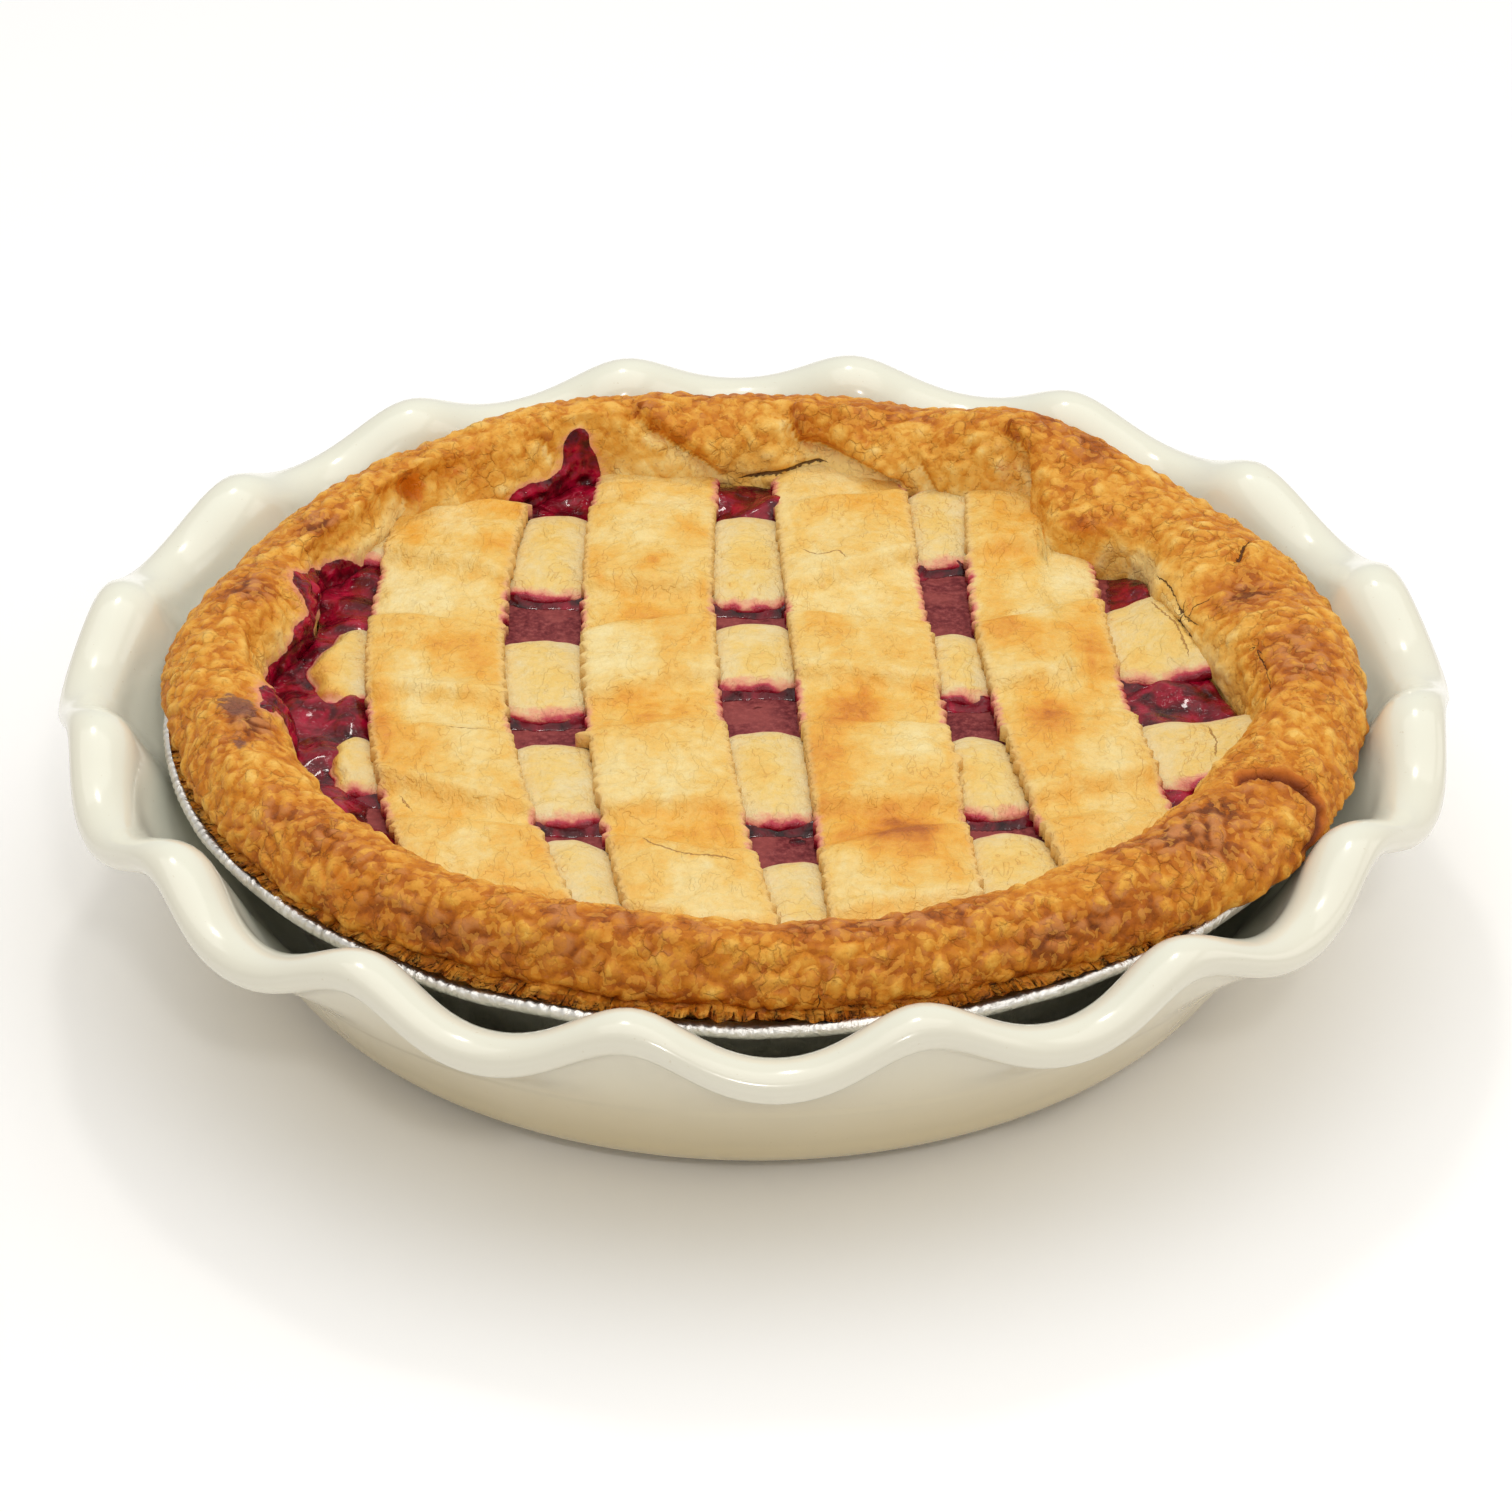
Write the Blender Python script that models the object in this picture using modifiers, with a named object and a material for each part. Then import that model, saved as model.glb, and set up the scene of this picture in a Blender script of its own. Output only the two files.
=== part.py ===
"""Lattice cherry pie in its foil tin, standing in a ruffled ceramic dish.

Metres, +Z up. The origin is under the middle of the dish, on the surface that it stands on,
and -Y is the front. The tin, the crust, the filling and the lattice share one centre, which is
a little off the dish's, as the tin was dropped in by hand.
"""

import math

import bmesh
import bpy

OBJECT_NAME = "lattice_cherry_pie"
CLEARANCE = 0.0003  # between pieces that touch

# Dish
RIM_HEIGHT = 0.0485  # middle of the lip, where its wave crosses zero
LIP_RADIUS = 0.1332  # outer edge of the lip
FOOT_RADIUS = 0.087
FOOT_RECESS = 0.0022
DISH_FLOOR = 0.0075
RUFFLES = 16
RUFFLE_PHASE = 0.4529  # radians of the wave, at +X
RUFFLE_SKEW = 0.194  # ridges are a little narrower on one side
RUFFLE_OUT = 0.00116  # lobes go out and down, ridges in and up
RUFFLE_DOWN = 0.0037
RUFFLE_START = 0.024  # height where the flutes begin
STEPS_PER_RUFFLE = 6

# Foil tin
PIE_CENTRE = (0.0007, -0.0019)
TIN_BASE_RADIUS = 0.0862
TIN_MOUTH_RADIUS = 0.1078
TIN_BEAD_RADIUS = 0.1131
TIN_BEAD_THICK = 0.0024
TIN_RIM_HEIGHT = 0.0463  # top of the rolled bead
TIN_FLANGE_HEIGHT = 0.0439
FOIL = 0.0005
TIN_STEPS = 64

# Crust
CRUST_STEPS = 80
CRUST_EDGE_RADIUS = 0.1156
CRUST_CREST_RADIUS = 0.102
CRUST_INNER_RADIUS = 0.0912
CRUST_UNDERSIDE = 0.0469
CRUST_CREST_HEIGHT = 0.0584
CRUST_FLOOR = 0.0126
CRUST_SHORT_FRONT = 0.0054  # the rim stops short of the tin's bead at the front
CRUST_FRONT_SPREAD = 45  # degrees
CRUST_LONG_RIGHT = 0.0009  # it lies a little to the right
# Where the rim is folded or pulled: direction in degrees from +X, spread in degrees,
# how far the inner edge moves out (in if negative), and how much the crest rises.
CRUST_FOLDS = (
    (14, 5, 0.0, -0.0036),
    (15, 11, -0.0055, 0.0002),
    (33, 4, 0.0030, 0.0),
    (36, 15, 0.0, -0.0030),
    (43, 7, -0.0085, 0.0008),
    (55, 4, 0.0055, 0.0),
    (58, 8, 0.0, 0.0036),
    (72, 6, 0.0, -0.0016),
    (82, 4, 0.0060, -0.0005),
    (112, 8, 0.0070, 0.0),
    (118, 9, 0.0, 0.0026),
    (136, 11, 0.0090, 0.0),
    (154, 7, 0.0070, 0.0),
    (155, 13, 0.0, -0.0032),
    (178, 7, 0.0050, 0.0),
    (350, 8, 0.0040, 0.0),
)
# Where the outer edge bulges or draws in: direction, spread and how far out.
CRUST_EDGE_FOLDS = ((178, 7, 0.0012), (214, 9, -0.0022), (325, 9, 0.0018))
# Slow unevenness of the crest: waves round the rim, height, and turn in radians.
CRUST_UNEVEN = ((3, 0.0003, 0.4), (7, 0.0003, 2.1), (12, 0.0003, 4.0))

# Filling and lattice, from the filling's top upwards
FILLING_TOP = 0.0415
STRIP_THICK = 0.0028
STRIP_CROWN = 0.0003  # the middle of a strip over its edges
STRIP_REACH = 0.104  # half length before the rim cuts it
STRIP_SAG = 0.0018  # most that a long strip drops between two cross strips
LATTICE_GAP = 0.0005  # strip ends to the rim
# Each long strip runs front to back: middle at y = 0, lean, bend and width.
LONG_STRIPS = (
    (-0.0620, -0.095, 1.5, 0.0258),
    (-0.0200, -0.071, 0.7, 0.0252),
    (0.0220, -0.056, 0.07, 0.0268),
    (0.0585, -0.087, 0.95, 0.0250),
)
# The cross strips lie under them. Each is given by its back and front edge where it shows,
# beside and between the long strips.
SHOWN_AT = (-0.078, -0.0415, 0.0, 0.0425, 0.080)
CROSS_STRIPS = (
    ((0.076, 0.073, 0.073, 0.082, 0.088), (0.052, 0.040, 0.036, 0.054, 0.062)),
    ((0.026, 0.020, 0.027, 0.023, 0.035), (-0.003, -0.008, 0.004, -0.001, 0.007)),
    ((-0.016, -0.020, -0.015, -0.017, -0.012), (-0.035, -0.046, -0.046, -0.044, -0.034)),
    ((-0.049, -0.053, -0.062, -0.052, -0.048), (-0.072, -0.077, -0.086, -0.076, -0.071)),
)
# Where they start at the left; two of them stop short of the rim.
CROSS_LEFT_ENDS = (-STRIP_REACH, -0.0855, -0.0805, -STRIP_REACH)


def smoothstep(low, high, value):
    t = min(max((value - low) / (high - low), 0.0), 1.0)
    return t * t * (3 - 2 * t)


def clear_scene():
    for obj in list(bpy.data.objects):
        bpy.data.objects.remove(obj, do_unlink=True)


def new_collection(name):
    made = bpy.data.collections.new(name)
    bpy.context.scene.collection.children.link(made)
    return made


def new_material(name, colour, roughness, metallic=0.0):
    made = bpy.data.materials.new(name)
    made.use_nodes = True
    shader = made.node_tree.nodes["Principled BSDF"]
    shader.inputs["Base Color"].default_value = (*colour, 1.0)
    shader.inputs["Roughness"].default_value = roughness
    shader.inputs["Metallic"].default_value = metallic
    return made


def add_object(name, bm, collection, material=None):
    mesh = bpy.data.meshes.new(name)
    bm.to_mesh(mesh)
    bm.free()
    obj = bpy.data.objects.new(name, mesh)
    collection.objects.link(obj)
    if material:
        mesh.materials.append(material)
        mesh.shade_smooth()
        mesh.set_sharp_from_angle(angle=math.radians(40))
    return obj


def turned(name, profile, steps, collection, material=None, start=0.0, shape=None, centre=(0, 0)):
    """A solid turned from a section whose two ends lie on the axis.

    shape(angle, radius, height) gives the radius and height that a point moves to.
    """
    bm = bmesh.new()
    points = [
        bm.verts.new((radius * math.cos(start), radius * math.sin(start), height))
        for radius, height in profile
    ]
    edges = [bm.edges.new(pair) for pair in zip(points, points[1:])]
    bmesh.ops.spin(
        bm, geom=points + edges, cent=(0, 0, 0), axis=(0, 0, 1), angle=math.tau,
        steps=steps, use_merge=True,
    )
    bmesh.ops.remove_doubles(bm, verts=bm.verts, dist=1e-6)
    for vert in bm.verts:
        radius, height = math.hypot(vert.co.x, vert.co.y), vert.co.z
        angle = math.atan2(vert.co.y, vert.co.x)
        if shape and radius > 1e-6:
            radius, height = shape(angle, radius, height)
        vert.co = (
            centre[0] + radius * math.cos(angle),
            centre[1] + radius * math.sin(angle),
            height,
        )
    bmesh.ops.recalc_face_normals(bm, faces=bm.faces)
    return add_object(name, bm, collection, material)


# Dish ---------------------------------------------------------------------------------------


def dish_shape(angle, radius, height):
    """The flutes grow from nothing low on the wall to the full ruffle at the lip."""
    turn = RUFFLES * angle - RUFFLE_PHASE
    wave = math.cos(turn - RUFFLE_SKEW * math.sin(turn))
    wave *= smoothstep(RUFFLE_START, RIM_HEIGHT, height)
    return radius + RUFFLE_OUT * wave, height - RUFFLE_DOWN * wave


def make_dish(collection):
    glaze = new_material("cream_glaze", (0.80, 0.76, 0.66), 0.12)
    profile = (
        (0.0, FOOT_RECESS),
        (FOOT_RADIUS - 0.010, FOOT_RECESS),
        (FOOT_RADIUS - 0.008, 0.0),
        (FOOT_RADIUS, 0.0),
        (0.0934, 0.0018),
        (0.0976, 0.0050),
        (0.1012, 0.0107),
        (0.1100, 0.0240),
        (0.1166, 0.0328),
        (0.1236, 0.0410),
        (0.1280, 0.0444),
        (LIP_RADIUS - 0.0014, 0.0464),
        (LIP_RADIUS, 0.0490),
        (LIP_RADIUS - 0.0014, 0.0514),
        (0.1270, 0.0518),
        (0.1226, 0.0494),
        (0.1196, 0.0446),
        (0.1140, 0.0364),
        (0.1056, 0.0260),
        (0.0984, 0.0145),
        (0.0932, 0.0093),
        (0.0890, DISH_FLOOR),
        (0.0, DISH_FLOOR),
    )
    return turned(
        "dish", profile, RUFFLES * STEPS_PER_RUFFLE, collection, glaze,
        start=RUFFLE_PHASE / RUFFLES, shape=dish_shape,
    )


# Foil tin -----------------------------------------------------------------------------------


def tin_wall(offset):
    """The tin's section from its axis to its flange, moved in by offset."""
    floor = DISH_FLOOR + CLEARANCE
    return [
        (0.0, floor + offset),
        (TIN_BASE_RADIUS - offset * 0.3, floor + offset),
        (0.0930 - offset * 0.8, 0.0130 + offset * 0.6),
        (TIN_MOUTH_RADIUS - offset, TIN_FLANGE_HEIGHT - 0.0010 + offset * 0.6),
        (TIN_MOUTH_RADIUS + 0.0014, TIN_FLANGE_HEIGHT + offset),
    ]


def make_tin(collection):
    foil = new_material("foil", (0.75, 0.75, 0.74), 0.28, metallic=1.0)
    half = TIN_BEAD_THICK / 2
    bead = [
        (
            TIN_BEAD_RADIUS + half * math.cos(math.radians(turn)),
            TIN_RIM_HEIGHT - half + half * math.sin(math.radians(turn)),
        )
        for turn in (-130, -70, -10, 50, 110, 170)
    ]
    profile = tin_wall(0.0) + bead + tin_wall(FOIL)[::-1]
    return turned("foil_tin", profile, TIN_STEPS, collection, foil, centre=PIE_CENTRE)


# Crust and filling --------------------------------------------------------------------------


def bump(angle, direction, spread):
    """1 in the given direction, falling to nothing on both sides; both in degrees."""
    away = (math.degrees(angle) - direction + 180) % 360 - 180
    return math.exp(-((away / spread) ** 2))


def inner_push(angle):
    return sum(fold[2] * bump(angle, fold[0], fold[1]) for fold in CRUST_FOLDS)


def crest_lift(angle):
    lift = sum(fold[3] * bump(angle, fold[0], fold[1]) for fold in CRUST_FOLDS)
    return lift + sum(high * math.sin(waves * angle + turn) for waves, high, turn in CRUST_UNEVEN)


def outer_push(angle):
    away = (math.degrees(angle) + 90 + 180) % 360 - 180
    front = math.exp(-((away / CRUST_FRONT_SPREAD) ** 4))
    folds = sum(push * bump(angle, direction, spread) for direction, spread, push in CRUST_EDGE_FOLDS)
    return CRUST_LONG_RIGHT * math.cos(angle) - CRUST_SHORT_FRONT * front + folds


def crust_shape(angle, radius, height):
    """Moves the hollow's wall with the rim's inner edge, the outer edge and the crest.

    The case's outside stays as it is, in the tin.
    """
    inner = smoothstep(0.0, 1.0, (CRUST_CREST_RADIUS - radius) / (CRUST_CREST_RADIUS - CRUST_INNER_RADIUS))
    lowest = CRUST_FLOOR if radius <= CRUST_INNER_RADIUS else FILLING_TOP
    inner *= height > lowest - 1e-6
    outer = smoothstep(CRUST_CREST_RADIUS, CRUST_EDGE_RADIUS, radius)
    outer *= height > CRUST_UNDERSIDE - 1e-6
    up = smoothstep(CRUST_UNDERSIDE, CRUST_CREST_HEIGHT, height)
    radius += inner * inner_push(angle) + outer * outer_push(angle)
    return radius, height + up * crest_lift(angle)


def inside_profile(offset):
    """The hollow of the crust from its floor up its wall, moved in by offset."""
    return [
        (0.0, CRUST_FLOOR + offset),
        (0.0805 - offset, CRUST_FLOOR + offset),
        (0.0880 - offset, 0.0260 + offset * 0.3),
        (0.0910 - offset, 0.0400),
    ]


def make_crust(collection):
    pastry = new_material("crust_pastry", (0.58, 0.27, 0.08), 0.62)
    edge, crest = CRUST_EDGE_RADIUS, CRUST_CREST_RADIUS
    high = CRUST_CREST_HEIGHT
    rim = [
        (0.1090, TIN_FLANGE_HEIGHT + FOIL + CLEARANCE + 0.0004),
        (0.1110, CRUST_UNDERSIDE),
        (edge - 0.0012, CRUST_UNDERSIDE + 0.0002),
        (edge, CRUST_UNDERSIDE + 0.0028),
        (edge - 0.0030, high - 0.0038),
        (edge - 0.0078, high - 0.0008),
        (crest, high),
        (crest - 0.0056, high - 0.0018),
        (crest - 0.0092, high - 0.0056),
        (CRUST_INNER_RADIUS, 0.0480),
    ]
    case = tin_wall(FOIL + CLEARANCE)[:-1]
    profile = case + rim + inside_profile(0.0)[::-1]
    return turned(
        "crust", profile, CRUST_STEPS, collection, pastry, shape=crust_shape, centre=PIE_CENTRE
    )


def make_filling(collection):
    cherry = new_material("cherry_filling", (0.30, 0.01, 0.03), 0.2)
    wall = inside_profile(CLEARANCE + 0.0001)
    profile = wall + [(wall[-1][0], FILLING_TOP), (0.0, FILLING_TOP)]
    return turned(
        "filling", profile, CRUST_STEPS, collection, cherry, shape=crust_shape, centre=PIE_CENTRE
    )


# Lattice ------------------------------------------------------------------------------------


def lattice_outline(cutters):
    """A cutter with the outline of the rim's inner edge, a small gap inside it."""
    radius = inside_profile(LATTICE_GAP)[-1][0]
    profile = ((0.0, 0.040), (radius, 0.040), (radius, 0.062), (0.0, 0.062))
    cutter = turned(
        "lattice_outline", profile, CRUST_STEPS, cutters, shape=crust_shape, centre=PIE_CENTRE
    )
    cutter.hide_render = True
    cutter.display_type = "WIRE"
    return cutter


def shown_value(values, x):
    """The value at x, smoothly between those given where the strip shows."""
    if x <= SHOWN_AT[0]:
        return values[0]
    for low, high, start, end in zip(SHOWN_AT, SHOWN_AT[1:], values, values[1:]):
        if x <= high:
            return start + (end - start) * smoothstep(low, high, x)
    return values[-1]


def make_strip(name, stations, outline, collection, material):
    """A rolled strip through stations of (one edge, other edge, height of its underside)."""
    bm = bmesh.new()
    rows = len(stations) - 1
    bmesh.ops.create_grid(bm, x_segments=2, y_segments=rows, size=0.5)
    for vert in bm.verts:
        across, along = vert.co.x + 0.5, round((vert.co.y + 0.5) * rows)
        one, other, height = stations[along]
        crown = STRIP_CROWN * (1 - abs(2 * across - 1))
        vert.co = (
            one[0] + (other[0] - one[0]) * across,
            one[1] + (other[1] - one[1]) * across,
            height + crown,
        )
    bmesh.ops.recalc_face_normals(bm, faces=bm.faces)
    if sum(face.normal.z for face in bm.faces) < 0:
        bmesh.ops.reverse_faces(bm, faces=bm.faces)
    obj = add_object(name, bm, collection, material)
    rolled = obj.modifiers.new("rolled_dough", "SOLIDIFY")
    rolled.thickness = STRIP_THICK
    rolled.offset = 1.0
    trim = obj.modifiers.new("trim_to_rim", "BOOLEAN")
    trim.operation = "INTERSECT"
    trim.object = outline
    return obj


def cross_stations(back, front, left_end):
    height = FILLING_TOP + CLEARANCE
    ends = (left_end, *SHOWN_AT, STRIP_REACH)
    places = sorted({*ends, *((low + high) / 2 for low, high in zip(ends, ends[1:]))})
    return [((x, shown_value(front, x)), (x, shown_value(back, x)), height) for x in places]


def long_edge(strip, side, y):
    middle, lean, bend, width = strip
    return middle + lean * y + bend * y * y + side * width / 2


def point_on_edge(strip, side, values):
    """Where a long strip's edge crosses the edge of a cross strip."""
    y = shown_value(values, strip[0])
    for _ in range(4):
        x = long_edge(strip, side, y)
        y = shown_value(values, x)
    return x, y


def long_stations(strip):
    """High over each cross strip and lower half way between two of them."""
    top = FILLING_TOP + 2 * CLEARANCE + STRIP_THICK + STRIP_CROWN
    margin = 0.0012
    sides = (-1, 1)
    stations = []
    for back, front in CROSS_STRIPS[::-1]:
        near = [point_on_edge(strip, side, front) for side in sides]
        far = [point_on_edge(strip, side, back) for side in sides]
        if stations:
            before = stations[-1]
            gap = near[0][1] - before[0][1]
            low = top - min(STRIP_SAG, 0.14 * gap)
            between = []
            for side in (0, 1):
                y = (before[side][1] + near[side][1]) / 2
                between.append((long_edge(strip, sides[side], y), y))
            stations.append((*between, low))
        stations.append((*[(x, y - margin) for x, y in near], top))
        stations.append((*[(x, y + margin) for x, y in far], top))
    ends = [
        (*[(long_edge(strip, side, y), y) for side in sides], top) for y in (-STRIP_REACH, STRIP_REACH)
    ]
    return [ends[0], *stations, ends[1]]


def make_lattice(collection, cutters):
    outline = lattice_outline(cutters)
    pale = new_material("strip_pale", (0.85, 0.66, 0.36), 0.55)
    golden = new_material("strip_golden", (0.88, 0.60, 0.24), 0.5)
    for number, ((back, front), left_end) in enumerate(zip(CROSS_STRIPS, CROSS_LEFT_ENDS), 1):
        stations = cross_stations(back, front, left_end)
        make_strip(f"strip_cross_{number}", stations, outline, collection, pale)
    for number, strip in enumerate(LONG_STRIPS, 1):
        make_strip(f"strip_long_{number}", long_stations(strip), outline, collection, golden)


def main():
    clear_scene()
    pieces = new_collection(OBJECT_NAME)
    cutters = new_collection("cutters")
    make_dish(pieces)
    make_tin(pieces)
    make_crust(pieces)
    make_filling(pieces)
    make_lattice(pieces, cutters)


main()
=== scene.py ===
import bisect
import math

import bmesh
import bpy
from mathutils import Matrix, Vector, noise


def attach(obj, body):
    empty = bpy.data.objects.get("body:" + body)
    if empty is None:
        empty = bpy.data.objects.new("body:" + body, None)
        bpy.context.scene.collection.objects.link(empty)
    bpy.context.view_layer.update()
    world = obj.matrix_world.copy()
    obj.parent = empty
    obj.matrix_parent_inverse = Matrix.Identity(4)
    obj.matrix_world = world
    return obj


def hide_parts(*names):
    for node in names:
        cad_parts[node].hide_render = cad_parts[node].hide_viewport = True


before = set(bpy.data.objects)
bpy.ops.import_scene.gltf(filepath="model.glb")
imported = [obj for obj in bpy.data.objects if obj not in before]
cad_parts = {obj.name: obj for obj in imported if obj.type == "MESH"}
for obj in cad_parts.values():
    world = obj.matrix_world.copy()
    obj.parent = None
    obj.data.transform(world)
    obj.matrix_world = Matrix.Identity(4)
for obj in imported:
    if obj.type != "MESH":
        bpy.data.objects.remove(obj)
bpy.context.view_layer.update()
mm = 0.001
print("frame loaded,", len(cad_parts), "nodes")


# small helpers for shapes


def smoothStep(low, high, value):
    t = min(max((value - low) / (high - low), 0.0), 1.0)
    return t * t * (3 - 2 * t)


def mixValue(first, second, share):
    return first + (second - first) * share


def valueAt(values, place):  # between two neighbours of a list
    low = min(int(place), len(values) - 2)
    return mixValue(values[low], values[low + 1], place - low)


def turnFrom(direction, degrees):  # signed, at most half a turn
    return (degrees - direction + 180) % 360 - 180


def bell(away):  # 1 in the middle, next to nothing from 2 on
    return math.exp(-(away**2))


def bump(degrees, direction, spread):
    return bell(turnFrom(direction, degrees) / spread)


def lumps(point, size, seed=0.0):  # about -1 to 1
    return noise.noise(Vector((point[0] / size + seed, point[1] / size - seed, point[2] / size)))


def pebbles(point, size, seed=0.0):  # round knobs with sharp creases between them, 0 to about 1
    return 1.6 * abs(lumps(point, size, seed))


def smoothLine(corners, spacing):  # a curve through the corners
    points = [Vector(corner) for corner in corners]
    ways = [
        (after - before).normalized()
        for before, after in zip([points[0], *points], [*points[1:], points[-1]])
    ]
    line = []
    for start, end, startWay, endWay in zip(points, points[1:], ways, ways[1:]):
        length = (end - start).length
        count = max(1, round(length / spacing))
        for step in range(count):
            t = step / count
            line.append(
                start * (2 * t**3 - 3 * t**2 + 1)
                + startWay * length * (t**3 - 2 * t**2 + t)
                + end * (3 * t**2 - 2 * t**3)
                + endWay * length * (t**3 - t**2)
            )
    return [*line, points[-1]]


def lengthOf(line):
    return sum((end - start).length for start, end in zip(line, line[1:]))


def awayFromLine(point, line):  # signed distance to a line, and how far along it that is
    best = (1e9, 0.0)
    travelled = 0.0
    for start, end in zip(line, line[1:]):
        way = (end[0] - start[0], end[1] - start[1])
        length = math.hypot(*way)
        offset = (point[0] - start[0], point[1] - start[1])
        share = (offset[0] * way[0] + offset[1] * way[1]) / length**2
        share = min(max(share, 0.0), 1.0)
        away = math.hypot(offset[0] - way[0] * share, offset[1] - way[1] * share)
        if away < abs(best[0]):
            side = way[0] * offset[1] - way[1] * offset[0]
            best = (math.copysign(away, side), travelled + share * length)
        travelled += length
    return (*best, travelled)


def polar(spot):  # radius, angle and height
    return math.hypot(spot.x, spot.y), math.atan2(spot.y, spot.x), spot.z


def fromPolar(radius, angle, height, centre=(0, 0)):
    return centre[0] + radius * math.cos(angle), centre[1] + radius * math.sin(angle), height


def turned(line, steps, start=0.0):  # a section spun round Z, with its length kept in a layer
    bm = bmesh.new()
    along = bm.verts.layers.float.new("along")
    travelled = 0.0
    points = []
    for number, (radius, height) in enumerate(line):
        if number:
            travelled += (Vector(line[number]) - Vector(line[number - 1])).length
        points.append(bm.verts.new(fromPolar(radius, start, height)))
        points[-1][along] = travelled
    edges = [bm.edges.new(pair) for pair in zip(points, points[1:])]
    bmesh.ops.spin(
        bm, geom=points + edges, cent=(0, 0, 0), axis=(0, 0, 1), angle=math.tau,
        steps=steps, use_merge=True,
    )
    bmesh.ops.remove_doubles(bm, verts=bm.verts, dist=1e-6)
    bmesh.ops.recalc_face_normals(bm, faces=bm.faces)
    return bm


def addLayers(bm, *names):
    return {name: bm.verts.layers.float.new(name) for name in names}


def setLayers(vert, layers, **values):
    for name, value in values.items():
        vert[layers[name]] = value


def finishPiece(name, bm, material, node):
    mesh = bpy.data.meshes.new(name)
    bm.to_mesh(mesh)
    bm.free()
    mesh.materials.append(material)
    mesh.shade_smooth()
    piece = bpy.data.objects.new(name, mesh)
    bpy.context.scene.collection.objects.link(piece)
    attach(piece, "root")
    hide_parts(node)
    print(name, "made,", len(mesh.polygons), "faces")


# small helpers for materials


def colour(red, green, blue):  # from 0 to 255 as seen on a screen
    return (*[((c / 255 + 0.055) / 1.055) ** 2.4 for c in (red, green, blue)], 1.0)


def addNode(tree, kind, settings=None, values=None, links=None):
    node = tree.nodes.new("ShaderNode" + kind)
    for key, value in (settings or {}).items():
        setattr(node, key, value)
    for key, value in (values or {}).items():
        node.inputs[key].default_value = value
    for key, socket in (links or {}).items():
        tree.links.new(socket, node.inputs[key])
    return node


def calc(tree, operation, *terms, clamp=False):
    node = addNode(tree, "Math", {"operation": operation, "use_clamp": clamp})
    for socket, term in zip(node.inputs, terms):
        if isinstance(term, (int, float)):
            socket.default_value = term
        else:
            tree.links.new(term, socket)
    return node.outputs[0]


def times(tree, first, second):
    return calc(tree, "MULTIPLY", first, second)


def timesPlus(tree, first, second, third):
    return calc(tree, "MULTIPLY_ADD", first, second, third)


def flip(tree, value):  # 1 minus the value
    return calc(tree, "SUBTRACT", 1.0, value)


def sway(tree, tone, value, amount):  # the tone, moved by how far the value is from its middle
    return timesPlus(tree, calc(tree, "SUBTRACT", value, 0.5), amount, tone)


def blendColour(tree, share, first, second):
    node = addNode(tree, "Mix", {"data_type": "RGBA", "clamp_factor": True})
    for socket, term in zip((node.inputs[0], node.inputs[6], node.inputs[7]), (share, first, second)):
        if isinstance(term, (int, float, tuple)):
            socket.default_value = term
        else:
            tree.links.new(term, socket)
    return node.outputs[2]


def tint(tree, base, mask, amount, shade):
    return blendColour(tree, times(tree, mask, amount), base, shade)


def ramp(tree, share, *stops):  # each stop is a place, red, green and blue
    node = addNode(tree, "ValToRGB", links={"Fac": share})
    points = node.color_ramp.elements
    while len(points) < len(stops):
        points.new(0.5)
    for point, (spot, *shade) in zip(points, stops):
        point.position = spot
        point.color = colour(*shade)
    return node.outputs["Color"]


def rise(tree, value, low, high):  # 0 below low, 1 above high, smooth between
    node = addNode(
        tree, "MapRange", {"interpolation_type": "SMOOTHSTEP"},
        {"From Min": low, "From Max": high}, {"Value": value},
    )
    return node.outputs[0]


def attribute(tree, name):
    return addNode(tree, "Attribute", {"attribute_name": name}).outputs["Fac"]


def place(tree):
    return addNode(tree, "TexCoord").outputs["Object"]


def grain(tree, where, size, detail=2.0, roughness=0.5, distortion=0.0):
    node = addNode(
        tree, "TexNoise", None,
        {"Scale": 1 / size, "Detail": detail, "Roughness": roughness, "Distortion": distortion},
        {"Vector": where},
    )
    return node.outputs["Fac"]


def stretched(tree, where, alongX, alongY):
    scale = {"Scale": (alongX, alongY, 1.0)}
    return addNode(tree, "Mapping", {"vector_type": "POINT"}, scale, {"Vector": where}).outputs[0]


def upward(tree, where):
    return addNode(tree, "SeparateXYZ", links={"Vector": where}).outputs["Z"]


def relief(tree, height, distance, strength):
    node = addNode(
        tree, "Bump", None, {"Distance": distance, "Strength": strength}, {"Height": height}
    )
    return node.outputs["Normal"]


def newMaterial(name, **values):
    material = bpy.data.materials.new(name)
    material.use_nodes = True
    tree = material.node_tree
    shader = tree.nodes["Principled BSDF"]
    for key, value in values.items():
        shader.inputs[key.replace("_", " ")].default_value = value
    return material, tree, shader


def connect(tree, inputs, **sockets):
    for key, socket in sockets.items():
        tree.links.new(socket, inputs[key.replace("_", " ")])


def newGroup(name, inputs, outputs):
    group = bpy.data.node_groups.new(name, "ShaderNodeTree")
    for label, kind, value in inputs:
        socket = group.interface.new_socket(label, in_out="INPUT", socket_type="NodeSocket" + kind)
        if value is not None:
            socket.default_value = value
    for label, kind in outputs:
        group.interface.new_socket(label, in_out="OUTPUT", socket_type="NodeSocket" + kind)
    entry = group.nodes.new("NodeGroupInput").outputs
    result = group.nodes.new("NodeGroupOutput").inputs
    return group, entry, result


def addGroup(tree, group, values, links):
    return addNode(tree, "Group", {"node_tree": group}, values, links).outputs


# effects that several materials share


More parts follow.
